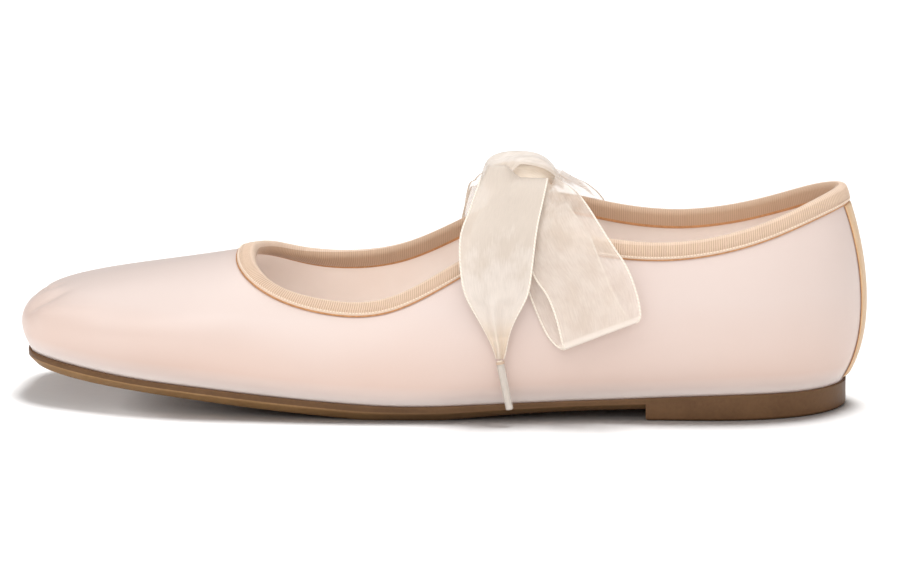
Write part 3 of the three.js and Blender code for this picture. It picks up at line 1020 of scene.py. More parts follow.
@dataclass
class Binding:
    """Ribbed tape folded over the topline, with a sewn lip and a dark edge below it."""

    RIB: ClassVar[tuple[float, ...]] = (0.0, 0.72, 1.0, 0.72)
    last: Last
    rib_pitch: float = 0.66
    rib_height: float = 0.26
    inner_ribs: float = 0.45
    stand: float = 0.28
    thickness: float = 0.72
    crest: float = 0.25
    under_leg: float = 4.4
    stitch_line: float = 3.58
    stitch_pitch: float = 0.95
    stitch_length: float = 0.62
    stitch_radius: float = 0.19
    stitch_rise: float = 0.94
    stitch_start: float = 0.8
    stitch_points: int = 7
    roll_points: int = 9
    rim_step: float = 0.005
    under_gap: tuple[float, float] = (0.1, 0.12)
    length_points: int = 2001

    def build(self) -> list[Piece]:
        """Builds the tape and its stitches."""
        return [self.tape(), self.stitches()]

    def round_length(self, rise: float) -> float:
        """Length once round the wall at one rise, in millimetres."""
        place = np.linspace(0.0, self.last.turns, self.length_points)
        return running(self.last.face(place, np.full_like(place, rise)))[-1]

    def section(self) -> tuple[Array, Array, Array, Array]:
        """One leg of the tape's section, from its cut edge up to the topline.

        Returns:
            For each row the width below the topline, the share of the thickness and the share of the rib
            height, and for each strip between rows its finish.
        """
        rows = np.array([
            (4.5, 0.0, 0.0), (4.46, 0.3, 0.0), (4.08, 0.4, 0.0), (4.04, 0.78, 0.0), (3.84, 0.95, 0.0),
            (3.34, 0.95, 0.0), (3.24, 0.7, 0.0), (3.1, 0.7, 0.1), (2.88, 0.95, 0.8), (1.8, 1.02, 1.0),
            (0.9, 1.02, 0.9), (0.0, 1.0, 0.7),
        ])
        return rows[:, 0], rows[:, 1], rows[:, 2], np.array([1, 1, 3, 3, 3, 3, 0, 0, 0, 0, 0])

    def tape(self) -> Piece:
        """Carries the section round the topline, each rib a rounded ridge across it.

        Returns:
            The piece.
        """
        last = self.last
        length = self.round_length(1.0)
        ribs = int(round(length / self.rib_pitch))
        place = last.even_places(ribs * len(self.RIB), 1.0, 0.0)[None, :]
        wave = np.tile(self.RIB, ribs)
        wave = np.append(wave, wave[0])[None, :]
        leg, off, rib, kind = self.section()
        rise = last.leg_end(place, leg[:, None])
        ridge = rib[:, None] * wave * self.rib_height
        near = last.point(place, rise, self.stand + off[:, None] * self.thickness + ridge)
        inner_off = np.interp(leg, (0.0, 3.9, 4.3, 4.5), (1.0, 0.95, 0.6, 0.0))
        inner_lift = self.stand + inner_off[:, None] * self.thickness + self.inner_ribs * ridge
        far = last.point(place, rise, -last.wall - inner_lift)[::-1]
        turn = np.linspace(0.0, np.pi, self.roll_points)[1:-1, None]
        middle = last.point(place, np.ones_like(place), -0.5 * last.wall)
        out = last.normal(place, np.ones_like(place))
        up = unit(last.face(place, 1.0) - last.face(place, 1.0 - self.rim_step))
        low_wave = self.inner_ribs * wave * self.rib_height
        reach = 0.5 * last.wall + self.stand + self.thickness + low_wave
        crest = self.stand + self.thickness + self.crest + low_wave
        roll = middle + out * (np.cos(turn) * reach)[..., None] + up * (np.sin(turn) * crest)[..., None]
        low, high = last.leg_end(place[0], self.under_leg), np.ones_like(place[0])
        edge, top = self.under_gap
        lining = ((low, -last.wall - edge), (high, -last.wall - top), (high, top), (low, edge))
        under = np.stack([last.point(place[0], rise, off) for rise, off in lining])
        points = np.concatenate([near, roll, far, under, near[:1]])
        over = np.linspace(0.5, 5.0, len(turn))
        across = np.concatenate([-leg, over, 5.5 + leg[::-1], [10.0, 6.0, 0.0, -self.under_leg], -leg[:1]])
        cloth = flat_lay(np.linspace(0.0, length, place.shape[1]), across)
        # Finishes: 0 ribs outside, 1 dark orange line at the cut edge, 2 ribs inside, darker as painted
        # shade, 3 lip, 4 top of the roll, lighter as a painted highlight
        roll_kind = np.where(np.arange(len(turn) + 1) < 4, 4, 2)
        inner_kind = np.where(leg[:-1][::-1] > 3.8, 1, 2)
        slots = np.concatenate([kind, roll_kind, inner_kind, np.ones(5)])
        pitch = length / ribs
        finishes = [
            Grosgrain().material("peach_grosgrain", pitch, 0.6),
            EdgeLine().material(),
            # Darker copy of the tape on its inner leg and the inner half of the roll: painted shade
            Grosgrain((0.58, 0.39, 0.265), (0.42, 0.265, 0.165)).material("tan_grosgrain", pitch, 0.45),
            Grosgrain((0.74, 0.57, 0.44), (0.62, 0.45, 0.33)).material("peach_tape_lip", pitch, 0.0),
            # Lighter copy of the tape on the top of the roll: painted highlight
            Grosgrain((0.8, 0.61, 0.47), (0.5, 0.335, 0.225)).material("peach_grosgrain_roll", pitch, 0.25),
        ]
        piece = make_piece("topline_tape", [Patch(points, cloth, slots, flip=True)], finishes)
        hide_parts("topline_binding")
        return piece

    def stitches(self) -> Piece:
        """Lays short rounded stitches along the lip, on the outside of the tape.

        Each is a small spindle: a circle carried along the lip, its radius the square root of a sine.

        Returns:
            The piece.
        """
        last = self.last
        length = self.round_length(self.stitch_rise)
        count = int(round(length / self.stitch_pitch))
        start = last.even_places(count, self.stitch_rise, self.stitch_start)[:-1]
        share = np.linspace(0.0, 1.0, self.stitch_points)
        turn = np.linspace(0.0, 2.0 * np.pi, self.stitch_points)
        span = self.stitch_length / length * last.turns
        place = start[:, None] + share * span
        rise = last.leg_end(place, self.stitch_line)
        middle = last.point(place, rise, self.stand + self.thickness)
        out = last.normal(place, rise)
        along = unit(np.gradient(middle, axis=1))
        side = np.cross(out, along)
        size = self.stitch_radius * np.sqrt(np.sin(np.pi * share))[None, :, None, None]
        points = middle[:, :, None, :] + size * circle(out, side, len(turn))
        lay = flat_lay(turn * self.stitch_radius, share * self.stitch_length)[..., ::-1]
        patches = [Patch(p, lay, flip=True) for p in points]
        piece = make_piece("topline_stitches", patches, [Thread().material()])
        return piece


@dataclass
class Stay:
    """Tape down the back seam, from the binding to the sole."""

    last: Last
    width: float = 13.0
    stand: float = 0.2
    thickness: float = 0.65
    edge: float = 0.28
    taper: float = 0.14
    foot: float = 0.02
    top: float = 4.1
    length: float = 55.0

    def build(self) -> Piece:
        """Carries a flat section with rounded edges up the back of the heel.

        The section's height over the wall is the thickness times (1 - |t|^10), so it falls to the wall
        at both edges, and the tape thins to nothing at its ends.

        Returns:
            The piece.
        """
        last = self.last
        share = np.linspace(0.0, 1.0, 61)
        across = np.concatenate([[-1.0], np.linspace(-0.985, -0.88, 6), np.linspace(-0.7, 0.7, 9),
                                 np.linspace(0.88, 0.985, 6), [1.0]])
        mid = self.foot + share * (last.leg_end(0.0 * share, self.top) - self.foot)
        side = np.full_like(mid, 0.2)
        gap = np.linalg.norm(last.face(side, mid) - last.face(-side, mid), axis=-1) / (2.0 * side)
        narrow = 1.0 - self.taper * smooth(share, 0.3, 1.0)
        place = across[None, :] * (0.5 * self.width / gap * narrow)[:, None]
        rise = self.foot + share[:, None] * (last.leg_end(place, self.top) - self.foot)
        fade = smooth(share, 0.0, 0.03) * (1.0 - smooth(share, 0.985, 1.0))
        height = self.thickness * (1.0 - np.abs(across) ** 10)[None, :] * fade[:, None]
        top = last.point(place, rise, self.stand + height)
        below = last.point(place, rise, self.stand)
        points = np.concatenate([top, below[:, ::-1], top[:, :1]], axis=1)
        lay_x = np.concatenate([across, across[::-1], across[:1]]) * 0.5 * self.width
        lay = flat_lay(lay_x, share * self.length)
        dark = np.abs(0.5 * (across[1:] + across[:-1])) > 1.0 - 2.0 * self.edge / self.width
        slots = np.concatenate([dark, np.ones(len(across) + 1)])
        patch = Patch(points.transpose(1, 0, 2), lay.transpose(1, 0, 2), slots)
        piece = make_piece("back_stay_tape", [patch], [StayTape().material(), EdgeLine().material()])
        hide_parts("heel_stay")
        return piece


@dataclass
class Sole:
    """Sole with its bevelled edge, and the heel joined behind the breast."""

    last: Last
    margin: float = 0.8
    bevel: float = 2.4
    seam: float = 0.3
    breast_x: float = 61.5
    half: int = 240
    heel_points: int = 161

    def seat(self, x: Array) -> Array:
        """Height of the top of the sole."""
        return self.last.feather_height(x) - self.seam

    def shoulder(self, share: float) -> Callable[[Array], Array]:
        """Height a share of the way from the top of the sole down to its tread."""
        return lambda x: self.seat(x) + share * (self.last.tread_height(x) - self.seat(x))

    def build(self) -> Piece:
        """Builds the sole and the heel as one piece.

        Returns:
            The piece.
        """
        # The upright edge is darker and the bevel lighter, partly a two-tone edge and partly painted light:
        # painted shade under the upper's overhang and a painted reflection of the floor on the bevel
        finishes = [
            SoleLeather((0.15, 0.076, 0.032), (0.105, 0.05, 0.02)).material("sole_edge_brown", 1.0),
            SoleLeather().material("sole_brown", 1.15),
            SoleLeather((0.34, 0.195, 0.085), (0.25, 0.135, 0.055)).material("sole_bevel_caramel", 1.0, 5.0),
        ]
        piece = make_piece("sole_and_heel", [self.body(), self.heel()], finishes, Sharpness.MOULDED)
        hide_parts("unit_sole")
        return piece

    def body(self) -> Patch:
        """Plate under the whole foot: top, upright edge, bevel and tread.

        Each ring of the edge is the sole line moved out in plan, at a share of the way from the top down
        to the tread. The top and the tread are rings drawn in to the middle line.

        Returns:
            The patch.
        """
        place = np.linspace(0.0, self.last.turns, 2 * self.half + 1)
        line = self.last.outline
        top = line(place, self.margin, self.seat)
        rows = [(s, top) for s in (0.0, 0.35, 0.7, 0.93, 0.985)]
        rows.append((1.0, line(place, self.margin - 0.12, self.shoulder(0.0))))
        rows += [(1.0, line(place, self.margin, self.shoulder(s))) for s in (0.05, 0.2, 0.36, 0.43)]
        for s, inset in ((0.47, 0.06), (0.53, 0.3), (0.68, 0.95), (0.84, 1.65), (0.95, 2.15), (0.995, 2.5)):
            rows.append((1.0, line(place, self.margin - inset, self.shoulder(s))))
        under = line(place, self.margin - self.bevel - 0.3, self.last.tread_height)
        rows += [(s, under) for s in (0.99, 0.94, 0.7, 0.35, 0.0)]
        points = ring_surface(rows)
        points[:5, :, 2] = self.seat(points[:5, :, 0])
        points[-5:, :, 2] = self.last.tread_height(points[-5:, :, 0])
        # Finishes: 0 upright edge, 1 top and tread, 2 bevel
        slots = np.array([1] * 4 + [0] * 4 + [2] * 7 + [1] * (len(rows) - 16))
        return Patch(points, slot=slots)

    def heel(self) -> Patch:
        """Heel: the outline behind the breast, closed by the breast, carried down to the floor.

        Returns:
            The patch.
        """
        fine = np.linspace(0.0, self.last.turns, self.last.fine)
        x = self.last.outline(fine, self.margin, self.seat)[:, 0]
        outer_end = fine[np.argmax(x < self.breast_x)]
        inner_end = fine[len(fine) - 1 - np.argmax(x[::-1] < self.breast_x)]
        turn = np.linspace(inner_end - self.last.turns, outer_end, self.heel_points)

        def level(out: float, height: float) -> Array:
            """Ring round the heel at one level.

            Args:
                out: How far it lies outside the sole line.
                height: From 0 at the seat to 1 at the floor.

            Returns:
                Points of the closed ring.
            """
            back = self.last.outline(turn, out, self.seat)
            back[:, 0] = np.maximum(back[:, 0], self.breast_x - out + self.margin)
            front = np.linspace(back[-1], back[0], 15)[1:-1]
            ring = np.concatenate([front[6:], back, front[:7]])
            ring[:, 2] = (self.seat(ring[:, 0]) - 0.1) * (1.0 - height)
            return ring

        edge = self.margin + 0.05
        rows = [(s, level(edge, 0.0)) for s in (0.0, 0.6, 0.97, 1.0)]
        rows += [(1.0, level(edge, s)) for s in (0.05, 0.3, 0.6, 0.86, 0.9)]
        rows += [(1.0, level(edge - i, s)) for s, i in ((0.93, 0.08), (0.97, 0.3), (1.0, 0.7))]
        rows += [(s, level(edge - 0.7, 1.0)) for s in (0.985, 0.9, 0.5, 0.0)]
        return Patch(ring_surface(rows))


@dataclass
class Insole:
    """Insole on the sole, inside the wall, softly dished with a rounded edge."""

    last: Last
    clearance: float = 0.3
    thickness: float = 2.6
    dish: float = 0.35
    half: int = 160

    def build(self) -> Piece:
        """Carries a rounded edge round the foot, with the top dished a little towards the middle.

        Returns:
            The piece.
        """
        last = self.last
        place = np.linspace(0.0, last.turns, 2 * self.half + 1)
        inset = -last.wall - self.clearance

        def ring(out: float, height: float) -> Array:
            """Outline at a height over the sole line."""
            return last.outline(place, inset + out, lambda x: last.feather_height(x) + height)

        rows = [(s, ring(-0.9, self.thickness)) for s in (0.0, 0.25, 0.5, 0.75, 0.92, 1.0)]
        for out, drop in ((-0.35, 0.15), (-0.06, 0.5), (0.0, 1.0)):
            rows.append((1.0, ring(out, self.thickness - drop)))
        rows += [(s, ring(0.0, 0.0)) for s in (1.0, 0.5, 0.0)]
        points = ring_surface(rows)
        share = np.array([r[0] for r in rows[:6]])[:, None]
        dish = self.dish * (1.0 - share**2)
        points[:6, :, 2] = last.feather_height(points[:6, :, 0]) + self.thickness - dish
        points[-3:, :, 2] = last.feather_height(points[-3:, :, 0])
        piece = make_piece("insole_board", [Patch(points)], [InsoleLeather().material()])
        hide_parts("insole")
        return piece


@dataclass
class Run:
    """One run of the ribbon, from station to station.

    Attributes:
        name: Name of the piece.
        node: The solid that it stands for.
        stations: Rows of x, y, z, half width and lean of the width in degrees.
        folds: Number of folds across where the width is gathered.
        phase: Shift of the folds across.
        weave: How close its weave looks, and its tone factor, partly painted light.
        crown: Height of the hood over the toe side of its start, in millimetres.
        pressed: Whether it is pressed flat where it turns back.
        rolled: Whether its end is rolled up for an aglet.
        rests_on: What it lies on or hangs from; not used.
    """

    name: str
    node: str
    stations: tuple[tuple[float, ...], ...]
    folds: float = 2.5
    phase: float = 0.0
    weave: Weave = Weave.CLOSE
    crown: float = 0.0
    pressed: bool = False
    rolled: bool = False
    rests_on: tuple[str, ...] = ("bow_knot",)


@dataclass
class Bow:
    """Ribbon bow: straps from inside the ears, knot, two loops, two tails and their aglets."""

    RUNS: ClassVar[tuple[Run, ...]] = (
        Run("strap_outer", "ribbon_strap_lateral", (
            (22, -24.8, 41, 12.3, 0), (22, -23.6, 47, 12.3, 0), (22, -21.4, 53.5, 12.2, 0),
            (22, -15.8, 58.2, 10.5, 0), (22, -8.6, 60.3, 8, 0), (22, -3.2, 60.6, 7, 0),
        ), 3.0, 0.2, rests_on=("upper", "bow_knot")),
        Run("strap_inner", "ribbon_strap_medial", (
            (24, 23.4, 42, 12.3, 0), (24, 22.4, 49, 12.3, 0), (23.8, 20, 55.5, 12.2, 0),
            (23.2, 12.5, 59.4, 10.5, 0), (22.4, 4, 60.5, 8, 0), (22, -2.5, 60.6, 7, 0),
        ), 3.0, 0.6, rests_on=("upper", "bow_knot")),
        Run("tail_outer", "bow_tail_lateral", (
            (21.9, -7.6, 66, 8.8, 0), (21.8, -12.6, 68.5, 9.6, -1), (21.1, -20, 66.2, 10.3, 3),
            (19.7, -28, 60.5, 10.7, 3), (18.3, -33, 53.9, 11.1, 2.5), (18.1, -36.4, 43.3, 10.2, 1),
            (18.3, -37.6, 36.4, 8.4, 1), (18.6, -38.6, 29.1, 4.6, 2), (19.3, -39, 23, 2.3, 1),
            (19.5, -39.3, 19.6, 1.3, 1),
        ), 1.5, 0.1, crown=3.4, rolled=True),
        Run("tail_inner", "bow_tail_medial", (
            (29.6, 7, 67.1, 4.6, -5), (32.6, 13.6, 64.1, 5.3, -10), (34.6, 19.8, 61.5, 6.6, -10),
            (36, 26, 58.2, 7.8, -9), (36.7, 31.6, 54.4, 9.4, -9), (37, 35.6, 47, 9.9, -7),
            (36.6, 37.4, 40, 9.2, -4), (35.8, 37.4, 31, 5.6, 0), (35.2, 36.4, 23.2, 1.3, 0),
        ), 3.5, 0.5, Weave.OPEN, rolled=True),
        Run("loop_outer", "bow_loop_lateral", (
            (31.8, -12.2, 67.3, 2.3, 12), (33.3, -17.6, 65, 6.2, 10), (34, -24.4, 61.8, 9.2, 12),
            (35.3, -29.8, 57.3, 11.4, 15), (40.4, -33.8, 47.9, 12.5, 20), (44, -35.2, 42.9, 12.5, 20),
            (47.1, -36.8, 35.9, 12.4, 20), (48.8, -38, 28.8, 12.2, 21), (48.4, -37.4, 26.5, 11.3, 22),
            (46.4, -36, 27.2, 11.3, 23), (44.2, -35.2, 29.6, 11.5, 25), (41.2, -34, 34.7, 11.5, 25),
            (36.3, -32, 46.3, 11.4, 24), (34.4, -30.8, 51.8, 10.9, 18), (32.6, -28.6, 56.7, 9.6, 10),
            (31.4, -23, 61, 7, 8), (31.2, -12.2, 65.7, 1.8, 10),
        ), 2.0, 0.3, Weave.SOFT, pressed=True),
        Run("loop_inner", "bow_loop_medial", (
            (16.2, 7, 66.2, 5, 0), (16, 13, 64.2, 7, 0), (15.7, 19.4, 61.9, 8.6, 2),
            (15.6, 25.4, 60.4, 10.2, 3), (15.2, 30, 57, 11.2, 5), (14.4, 33.6, 49.5, 11.8, 6),
            (13.6, 35.8, 40.5, 12.2, 6), (13.2, 36, 33.6, 12.2, 6), (13.2, 34.6, 36.5, 12.2, 6),
            (13.7, 32.2, 46, 11.9, 6), (14.8, 29.4, 53.6, 11.2, 5), (15.6, 25.2, 58.6, 10.2, 3),
            (15.6, 18.4, 60.2, 8.6, 2), (16, 12.4, 61.6, 7, 0), (16.2, 7, 62.9, 5, 0),
        ), 2.0, 0.7, Weave.OPEN, pressed=True),
    )
    KNOT: ClassVar[tuple[tuple[float, ...], ...]] = (
        (11.2, -7.0, 66.4, 1.0, 1.0), (13.4, -6.0, 67.0, 6.0, 5.4), (19.0, -5.0, 67.6, 8.6, 6.8),
        (27.0, -5.0, 67.5, 8.4, 6.6), (32.2, -6.4, 66.5, 5.4, 4.8), (35.8, -8.6, 65.2, 1.2, 1.2),
    )
    TIPS: ClassVar[dict[str, tuple[tuple[float, ...], tuple[float, ...]]]] = {
        "aglet_lateral": ((19.5, -39.4, 18.9), (22.5, -41.0, 5.0)),
        "aglet_medial": ((35.4, 36.3, 22.7), (34.6, 35.0, 8.2)),
    }
    width: float = 25.0
    columns: int = 49
    rows_per_station: int = 24
    selvedge: float = 0.29
    selvedge_depth: float = 0.13
    pressed_roll: float = 0.208
    rim_points: int = 9
    taut: float = 0.47
    fold_share: float = 0.8
    fold_most: float = 1.1
    gathered: tuple[float, float] = (0.55, 1.4)
    sway: float = 0.09
    crown_length: float = 5.0
    hood_rise: tuple[float, float] = (-1.0, -0.78)
    hood_fall: tuple[float, float] = (-0.35, 0.2)
    roll_halves: tuple[float, float] = (6.6, 3.0)
    thinnest: float = 0.35
    thin_halves: tuple[float, float] = (3.0, 9.0)
    wrap_front: float = -30.0
    wrap_open: float = 72.0
    wrap_back: float = 205.0
    core_middle: tuple[float, float, float] = (22.5, -3.6, 66.3)
    core_half: tuple[float, float, float] = (10.5, 7.2, 4.6)
    core_square: float = 0.75
    aglet_radius: float = 1.2

    def __post_init__(self) -> None:
        """Makes the finishes that the runs share."""
        self.sheer = {
            weave: Organza().material("cream_organza_" + weave.name.lower(), *weave.value) for weave in Weave
        }
        self.bundle = Organza((0.92, 0.8, 0.67), (0.84, 0.71, 0.57)).material("cream_organza_bundle", 0.95)
        self.bound = Organza((0.62, 0.45, 0.33), (0.55, 0.39, 0.28)).material("tan_organza_end", 0.95)
        self.rim = Selvedge().material()

    def build(self) -> list[Piece]:
        """Builds the runs, the knot and the aglets.

        Returns:
            The pieces.
        """
        pieces = [piece for run in self.RUNS for piece in self.ribbon(run)]
        pieces += self.knot()
        pieces += [self.aglet(node, ends) for node, ends in self.TIPS.items()]
        return pieces

    def course(self, run: Run, rows: int) -> tuple[Array, Array, Array]:
        """Surface of a run: its width carried along a smooth path, folded where it is gathered.

        The folds are a cosine across the width. Their height grows with the square root of the cloth that
        is taken up, (taut half width / half width)² - 1, up to a limit. The hood rises as a soft step
        across the width and falls off along the run as exp(-d²) on both sides of the second station.

        Args:
            run: The run.
            rows: Points along it.

        Returns:
            Grid of points, the width direction of each row and the face direction of each row.
        """
        s = np.linspace(0.0, len(run.stations) - 1.0, rows)
        path = Spline(run.stations, False)
        at = path(s)
        ahead = unit(path(s + STEP)[:, :3] - path(s - STEP)[:, :3])
        lean = np.radians(at[:, 4])
        wide = np.stack([np.cos(lean), 0.0 * lean, np.sin(lean)], axis=1)
        face = unit(np.cross(ahead, wide))
        half = at[:, 3]
        t = np.linspace(-1.0, 1.0, self.columns)
        taken = np.maximum((self.taut * self.width / half) ** 2 - 1.0, 0.0)
        height = half / (np.pi * run.folds) * np.sqrt(2.0 * taken) * self.fold_share
        height = np.minimum(height, self.fold_most)
        height = height * smooth(taken, *self.gathered)
        warp = t + self.sway * np.sin(4.0 * t + 6.0 * run.phase)
        wave = np.cos(np.pi * run.folds * warp + 2.0 * np.pi * run.phase)
        points = at[:, None, :3] + wide[:, None, :] * (half[:, None] * t)[..., None]
        points = points + face[:, None, :] * (height[:, None] * wave)[..., None]
        length = running(at[:, :3])
        near = np.exp(-(((length - np.interp(1.0, s, length)) / self.crown_length) ** 2))
        hood = smooth(t, *self.hood_rise) * (1.0 - smooth(t, *self.hood_fall))
        points[..., 2] += run.crown * near[:, None] * hood
        return points, wide, face

    def ribbon(self, run: Run) -> list[Piece]:
        """Builds one run with its two selvedges.

        Args:
            run: The run.

        Returns:
            The cloth and its edges.
        """
        rows = self.rows_per_station * (len(run.stations) - 1) + 1
        points, wide, face = self.course(run, rows)
        middle = points[:, self.columns // 2]
        along = running(middle)
        finish = self.sheer[run.weave]
        half = 0.5 * np.linalg.norm(points[:, -1] - points[:, 0], axis=-1)
        lowest = int(middle[:, 2].argmin())
        if run.pressed:
            fold = float(along[lowest])
            finish = Organza().material("cream_organza_" + run.name, *run.weave.value, fold)
        if run.rolled:
            roll = np.interp(-np.array(self.roll_halves), -half[rows // 2:], along[rows // 2:])
            finish = Organza().material("cream_organza_" + run.name, *run.weave.value, None, tuple(roll))
        lay = flat_lay(np.linspace(0.0, self.width, self.columns), along)
        cloth = make_piece(run.name, [Patch(points, lay)], [finish])
        thin = (self.thinnest + (1.0 - self.thinnest) * smooth(half, *self.thin_halves))[:, None]
        rim = circle(wide * self.selvedge * thin, face * self.selvedge_depth * thin, self.rim_points)
        inset = 0.5 * self.selvedge * wide
        patches = [tube(points[:, 0] + inset, rim), tube(points[:, -1] - inset, rim)]
        if run.pressed:
            # Fine roll across the ribbon where it turns back at its lowest row
            ring = circle(face[lowest], np.cross(wide[lowest], face[lowest]), self.rim_points)
            patches.append(tube(points[lowest], self.pressed_roll * ring[None, :, :]))
        edges = make_piece(run.name + "_selvedges", patches, [self.rim])
        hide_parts(run.node)
        return [cloth, edges]

    def knot(self) -> list[Piece]:
        """Builds the knot: a core of gathered ribbon under a wrap that is open towards the front.

        The wrap is part of an ellipse round a line that runs along the foot, its radius shrinking to a
        pinch at the back end. The core is a squared ellipse with shallow folds.

        Returns:
            The wrap and the core.
        """
        s = np.linspace(0.0, len(self.KNOT) - 1.0, 61)
        line = Spline(self.KNOT, False)(s)
        front = self.wrap_front + self.wrap_open * smooth(s, 1.6, 2.6) * (1.0 - smooth(s, 4.2, 5.0))
        share = np.linspace(0.0, 1.0, self.columns)
        angle = np.radians(front[:, None] + (self.wrap_back - front[:, None]) * share[None, :])
        swell = 1.0 + 0.05 * np.cos(7.0 * angle + 1.5 * np.sin(1.3 * s)[:, None])
        points = np.stack([
            np.broadcast_to(line[:, :1], angle.shape),
            line[:, 1:2] - line[:, 3:4] * np.cos(angle) * swell,
            line[:, 2:3] + line[:, 4:5] * np.sin(angle) * swell,
        ], axis=-1)
        wrap = make_piece("knot_wrap", [Patch(points)], [self.sheer[Weave.WRAPPED]])

        def soft(value: Array) -> Array:
            """Sine or cosine drawn out, so that a circle becomes a soft square."""
            return np.sign(value) * np.abs(value) ** self.core_square

        u = np.linspace(-0.5, 0.5, 41)[:, None] * np.pi
        w = np.linspace(0.0, 2.0 * np.pi, 65)[None, :]
        lump = 1.0 + 0.06 * np.cos(6.0 * w + 2.0 * np.sin(2.0 * u))
        ends = np.where(np.abs(np.cos(u)) < 1e-9, 0.0, np.cos(u))
        core = self.core_middle + np.array(self.core_half) * np.stack(np.broadcast_arrays(
            soft(np.sin(u)) + 0.0 * w,
            soft(ends) * soft(np.cos(w)) * lump,
            soft(ends) * soft(np.sin(w)) * lump,
        ), axis=-1)
        middle = make_piece("knot_core", [Patch(core)], [self.bundle])
        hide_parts("bow_knot")
        return [wrap, middle]

    def aglet(self, node: str, ends: tuple[tuple[float, ...], tuple[float, ...]]) -> Piece:
        """Builds an aglet: a clear sleeve, open at its tip, over the rolled end of the ribbon.

        The section of the sleeve runs down the outside and back up the inside and is turned round its line.

        Args:
            node: The solid that it stands for.
            ends: The two ends of its line.

        Returns:
            The piece.
        """
        start, end = (np.array(e) for e in ends)
        ahead = unit(end - start)
        side = unit(np.cross([0.0, 1.0, 0.0], ahead))
        front = np.cross(ahead, side)
        ring = circle(side, front, 33)

        def turned(profile: Sequence[tuple[float, float]]) -> Array:
            """Turns shares along the line and radii round it."""
            share, radius = np.array(profile, float).T
            return (start + (end - start) * share[:, None])[:, None, :] + ring * radius[:, None, None]

        r = self.aglet_radius
        sleeve = turned((
            (0.0, r * 0.8), (0.0, r * 0.92), (0.015, r), (0.5, r * 0.98), (0.97, r * 0.93), (1.0, r * 0.84),
            (0.985, r * 0.7), (0.9, r * 0.72), (0.5, r * 0.76), (0.0, r * 0.8),
        ))
        roll = turned((
            (-0.02, 0.0), (-0.02, r * 0.6), (0.0, r * 0.72), (0.4, r * 0.62), (0.75, r * 0.5),
            (0.83, r * 0.3), (0.84, 0.0),
        ))
        collar = turned(((0.0, r * 0.9), (0.004, r * 1.06), (0.05, r * 1.08), (0.06, r * 0.98)))
        piece = make_piece(
            node + "_sleeve",
            [Patch(sleeve), Patch(roll, slot=1), Patch(collar, slot=2)],
            [ClearSleeve().material(), self.bundle, self.bound],
        )
        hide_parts(node)
        return piece


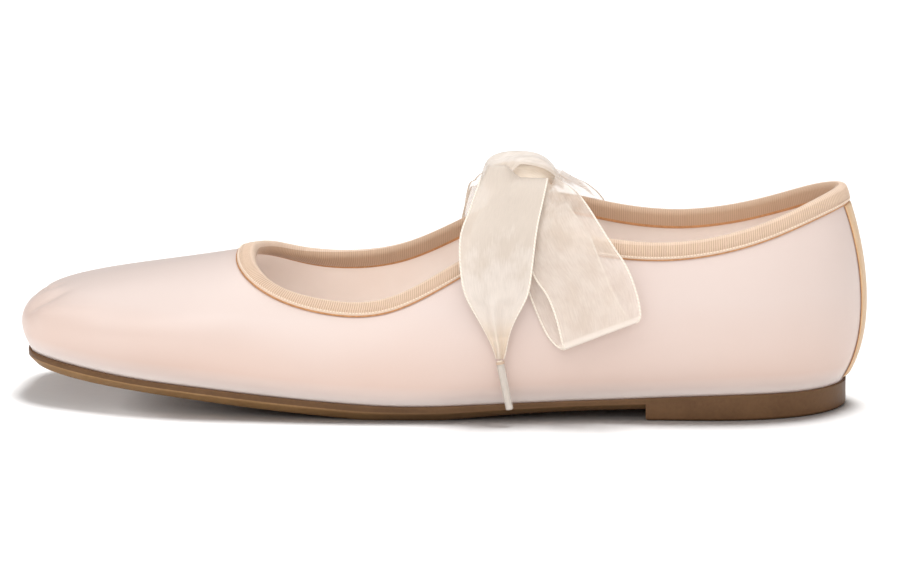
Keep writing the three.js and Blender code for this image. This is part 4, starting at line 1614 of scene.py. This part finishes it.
@dataclass
class Studio:
    """Pale floor, soft lamps and the camera."""

    target: tuple[float, float, float] = (1.97, 0.32, 32.4)
    distance: float = 1500.0
    azimuth: float = 5.0
    elevation: float = 11.5
    # The picture's 900 columns, at 3.36 to the millimetre
    view_width: float = 900.0 / 3.36
    sensor: float = 36.0
    surround: float = 0.12
    floor_half: float = 8.0

    def build(self) -> None:
        """Places the camera, floor and lamps."""
        self.camera()
        self.floor()
        self.lamps()

    def toward(self, azimuth: float, elevation: float) -> Vector:
        """Direction to a bearing from the front of the picture and a height, in degrees."""
        a, e = np.radians(azimuth), np.radians(elevation)
        return Vector((np.sin(a) * np.cos(e), -np.cos(a) * np.cos(e), np.sin(e)))

    def camera(self) -> None:
        """Aims the camera, with a lens that shows the view's width at the target."""
        back = self.toward(self.azimuth, self.elevation)
        data = bpy.data.cameras.new("camera")
        data.sensor_fit = "HORIZONTAL"
        data.sensor_width = self.sensor
        data.lens = self.sensor * self.distance / self.view_width
        data.clip_end = 50.0
        camera = bpy.data.objects.new("camera", data)
        camera.location = (Vector(self.target) + back * self.distance) * MM
        camera.rotation_euler = back.to_track_quat("Z", "Y").to_euler()
        bpy.context.scene.collection.objects.link(camera)
        bpy.context.scene.camera = camera

    def floor(self) -> None:
        """Lays a plain pale floor."""
        half = self.floor_half
        corners = [(x, y, 0.0) for y in (-half, half) for x in (-half, half)]
        mesh = bpy.data.meshes.new("floor")
        mesh.from_pydata(corners, [], [(0, 1, 3, 2)])
        graph = Graph("pale_floor", 0.1, rough=0.85)
        graph.tint(graph.noise(graph.space(), 0.4, 2.0), (0.3, (0.93,) * 3), (0.7, (0.95,) * 3))
        mesh.materials.append(graph.material)
        floor = bpy.data.objects.new("floor", mesh)
        bpy.context.scene.collection.objects.link(floor)

    def lamp(
        self,
        name: str,
        azimuth: float,
        elevation: float,
        spread: float,
        strength: float,
        gloss: bool = True,
        floor: Lit = Lit.ALL_BUT,
    ) -> None:
        """Hangs a far soft lamp that faces the shoe.

        Args:
            name: Name of the lamp.
            azimuth: Its bearing from the front of the picture, in degrees, to the right.
            elevation: Its height, in degrees.
            spread: How wide it looks from the shoe, in degrees.
            strength: Its light on a surface that faces it.
            gloss: Whether it is mirrored in glossy surfaces.
            floor: Whether it lights only the floor, or all but the floor.
        """
        data = bpy.data.lights.new(name, "SUN")
        data.angle = float(np.radians(spread))
        data.energy = strength
        lamp = self.hang(data, self.toward(azimuth, elevation), ("floor",), floor)
        lamp.visible_glossy = gloss

    def hang(
        self, data: bpy.types.Light, toward: Vector, names: Sequence[str], lit: Lit
    ) -> bpy.types.Object:
        """Hangs a lamp that lights only some objects, or all but those.

        Args:
            data: The lamp's light.
            toward: Direction from the shoe to the lamp.
            names: Names of the objects.
            lit: Whether it lights only those, or all but those.

        Returns:
            The lamp, at the origin.
        """
        lamp = bpy.data.objects.new(data.name, data)
        lamp.rotation_euler = toward.to_track_quat("Z", "Y").to_euler()
        bpy.context.scene.collection.objects.link(lamp)
        chosen = bpy.data.collections.new(data.name + "_lights")
        for name in names:
            chosen.objects.link(bpy.data.objects[name])
        for entry in chosen.collection_objects:
            entry.light_linking.link_state = lit.value
        lamp.light_linking.receiver_collection = chosen
        return lamp

    def lamps(self) -> None:
        """Lights the shoe from above, in front, both ends and behind, and the floor by its own lamps."""
        world = bpy.data.worlds.new("room")
        world.use_nodes = True
        light = world.node_tree.nodes["Background"].inputs
        light["Color"].default_value = (1.0, 1.0, 1.0, 1.0)
        light["Strength"].default_value = self.surround
        bpy.context.scene.world = world
        self.lamp("ground", 155.0, 77.0, 20.0, 3.3, gloss=False, floor=Lit.ONLY)
        self.lamp("floor_front", -15.0, 32.0, 50.0, 0.2, gloss=False, floor=Lit.ONLY)
        self.lamp("floor_toe", -118.0, 12.0, 13.0, 4.3, gloss=False, floor=Lit.ONLY)
        self.lamp("overhead", 0.0, 78.0, 60.0, 0.85)
        self.lamp("front", -10.0, 48.0, 70.0, 1.3)
        self.lamp("fill", 0.0, 6.0, 60.0, 0.75, gloss=False)
        self.lamp("toe_side", -75.0, 40.0, 50.0, 0.6)
        self.lamp("heel_side", 75.0, 35.0, 50.0, 0.65)
        self.lamp("back", 180.0, 55.0, 40.0, 1.0)
        self.strip("forefoot_strip", (-42.0, -18.0, 19.0), (76.0, 8.0), 0.0095, ("upper_shell",))
        self.strip("heel_strip", (84.0, -13.0, 30.0), (50.0, 8.0), 0.0042, ("upper_shell", "topline_tape"))
        bpy.context.scene.view_settings.view_transform = "Standard"

    def strip(
        self,
        name: str,
        centre: Sequence[float],
        size: tuple[float, float],
        power: float,
        lights: Sequence[str],
    ) -> None:
        """Lays a narrow lamp inside the shoe that lights the inner wall opposite.

        Args:
            name: Name of the lamp.
            centre: Its middle, in the tables' millimetres.
            size: Its length along the foot and its height, in millimetres.
            power: Its light in watts.
            lights: Names of the pieces that it lights.
        """
        data = bpy.data.lights.new(name, "AREA")
        data.shape = "RECTANGLE"
        data.size, data.size_y = (side * MM for side in size)
        data.energy = power
        lamp = self.hang(data, Vector((0.0, -1.0, -0.2)), lights, Lit.ONLY)
        lamp.location = (np.array(centre) + SHIFT) * MM
        lamp.visible_camera = lamp.visible_glossy = False


def main() -> None:
    """Builds."""
    logging.basicConfig(level=logging.INFO, format="%(name)s %(message)s")
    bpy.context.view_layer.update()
    last = Last()
    pieces = [Sole(last).build(), Upper(last).build(), Insole(last).build()]
    pieces += [*Binding(last).build(), Stay(last).build(), *Bow().build()]
    for piece in pieces:
        LOG.info("%s: %d faces", piece.name, len(piece.data.polygons))
    Studio().build()


if __name__ == "__main__":
    main()
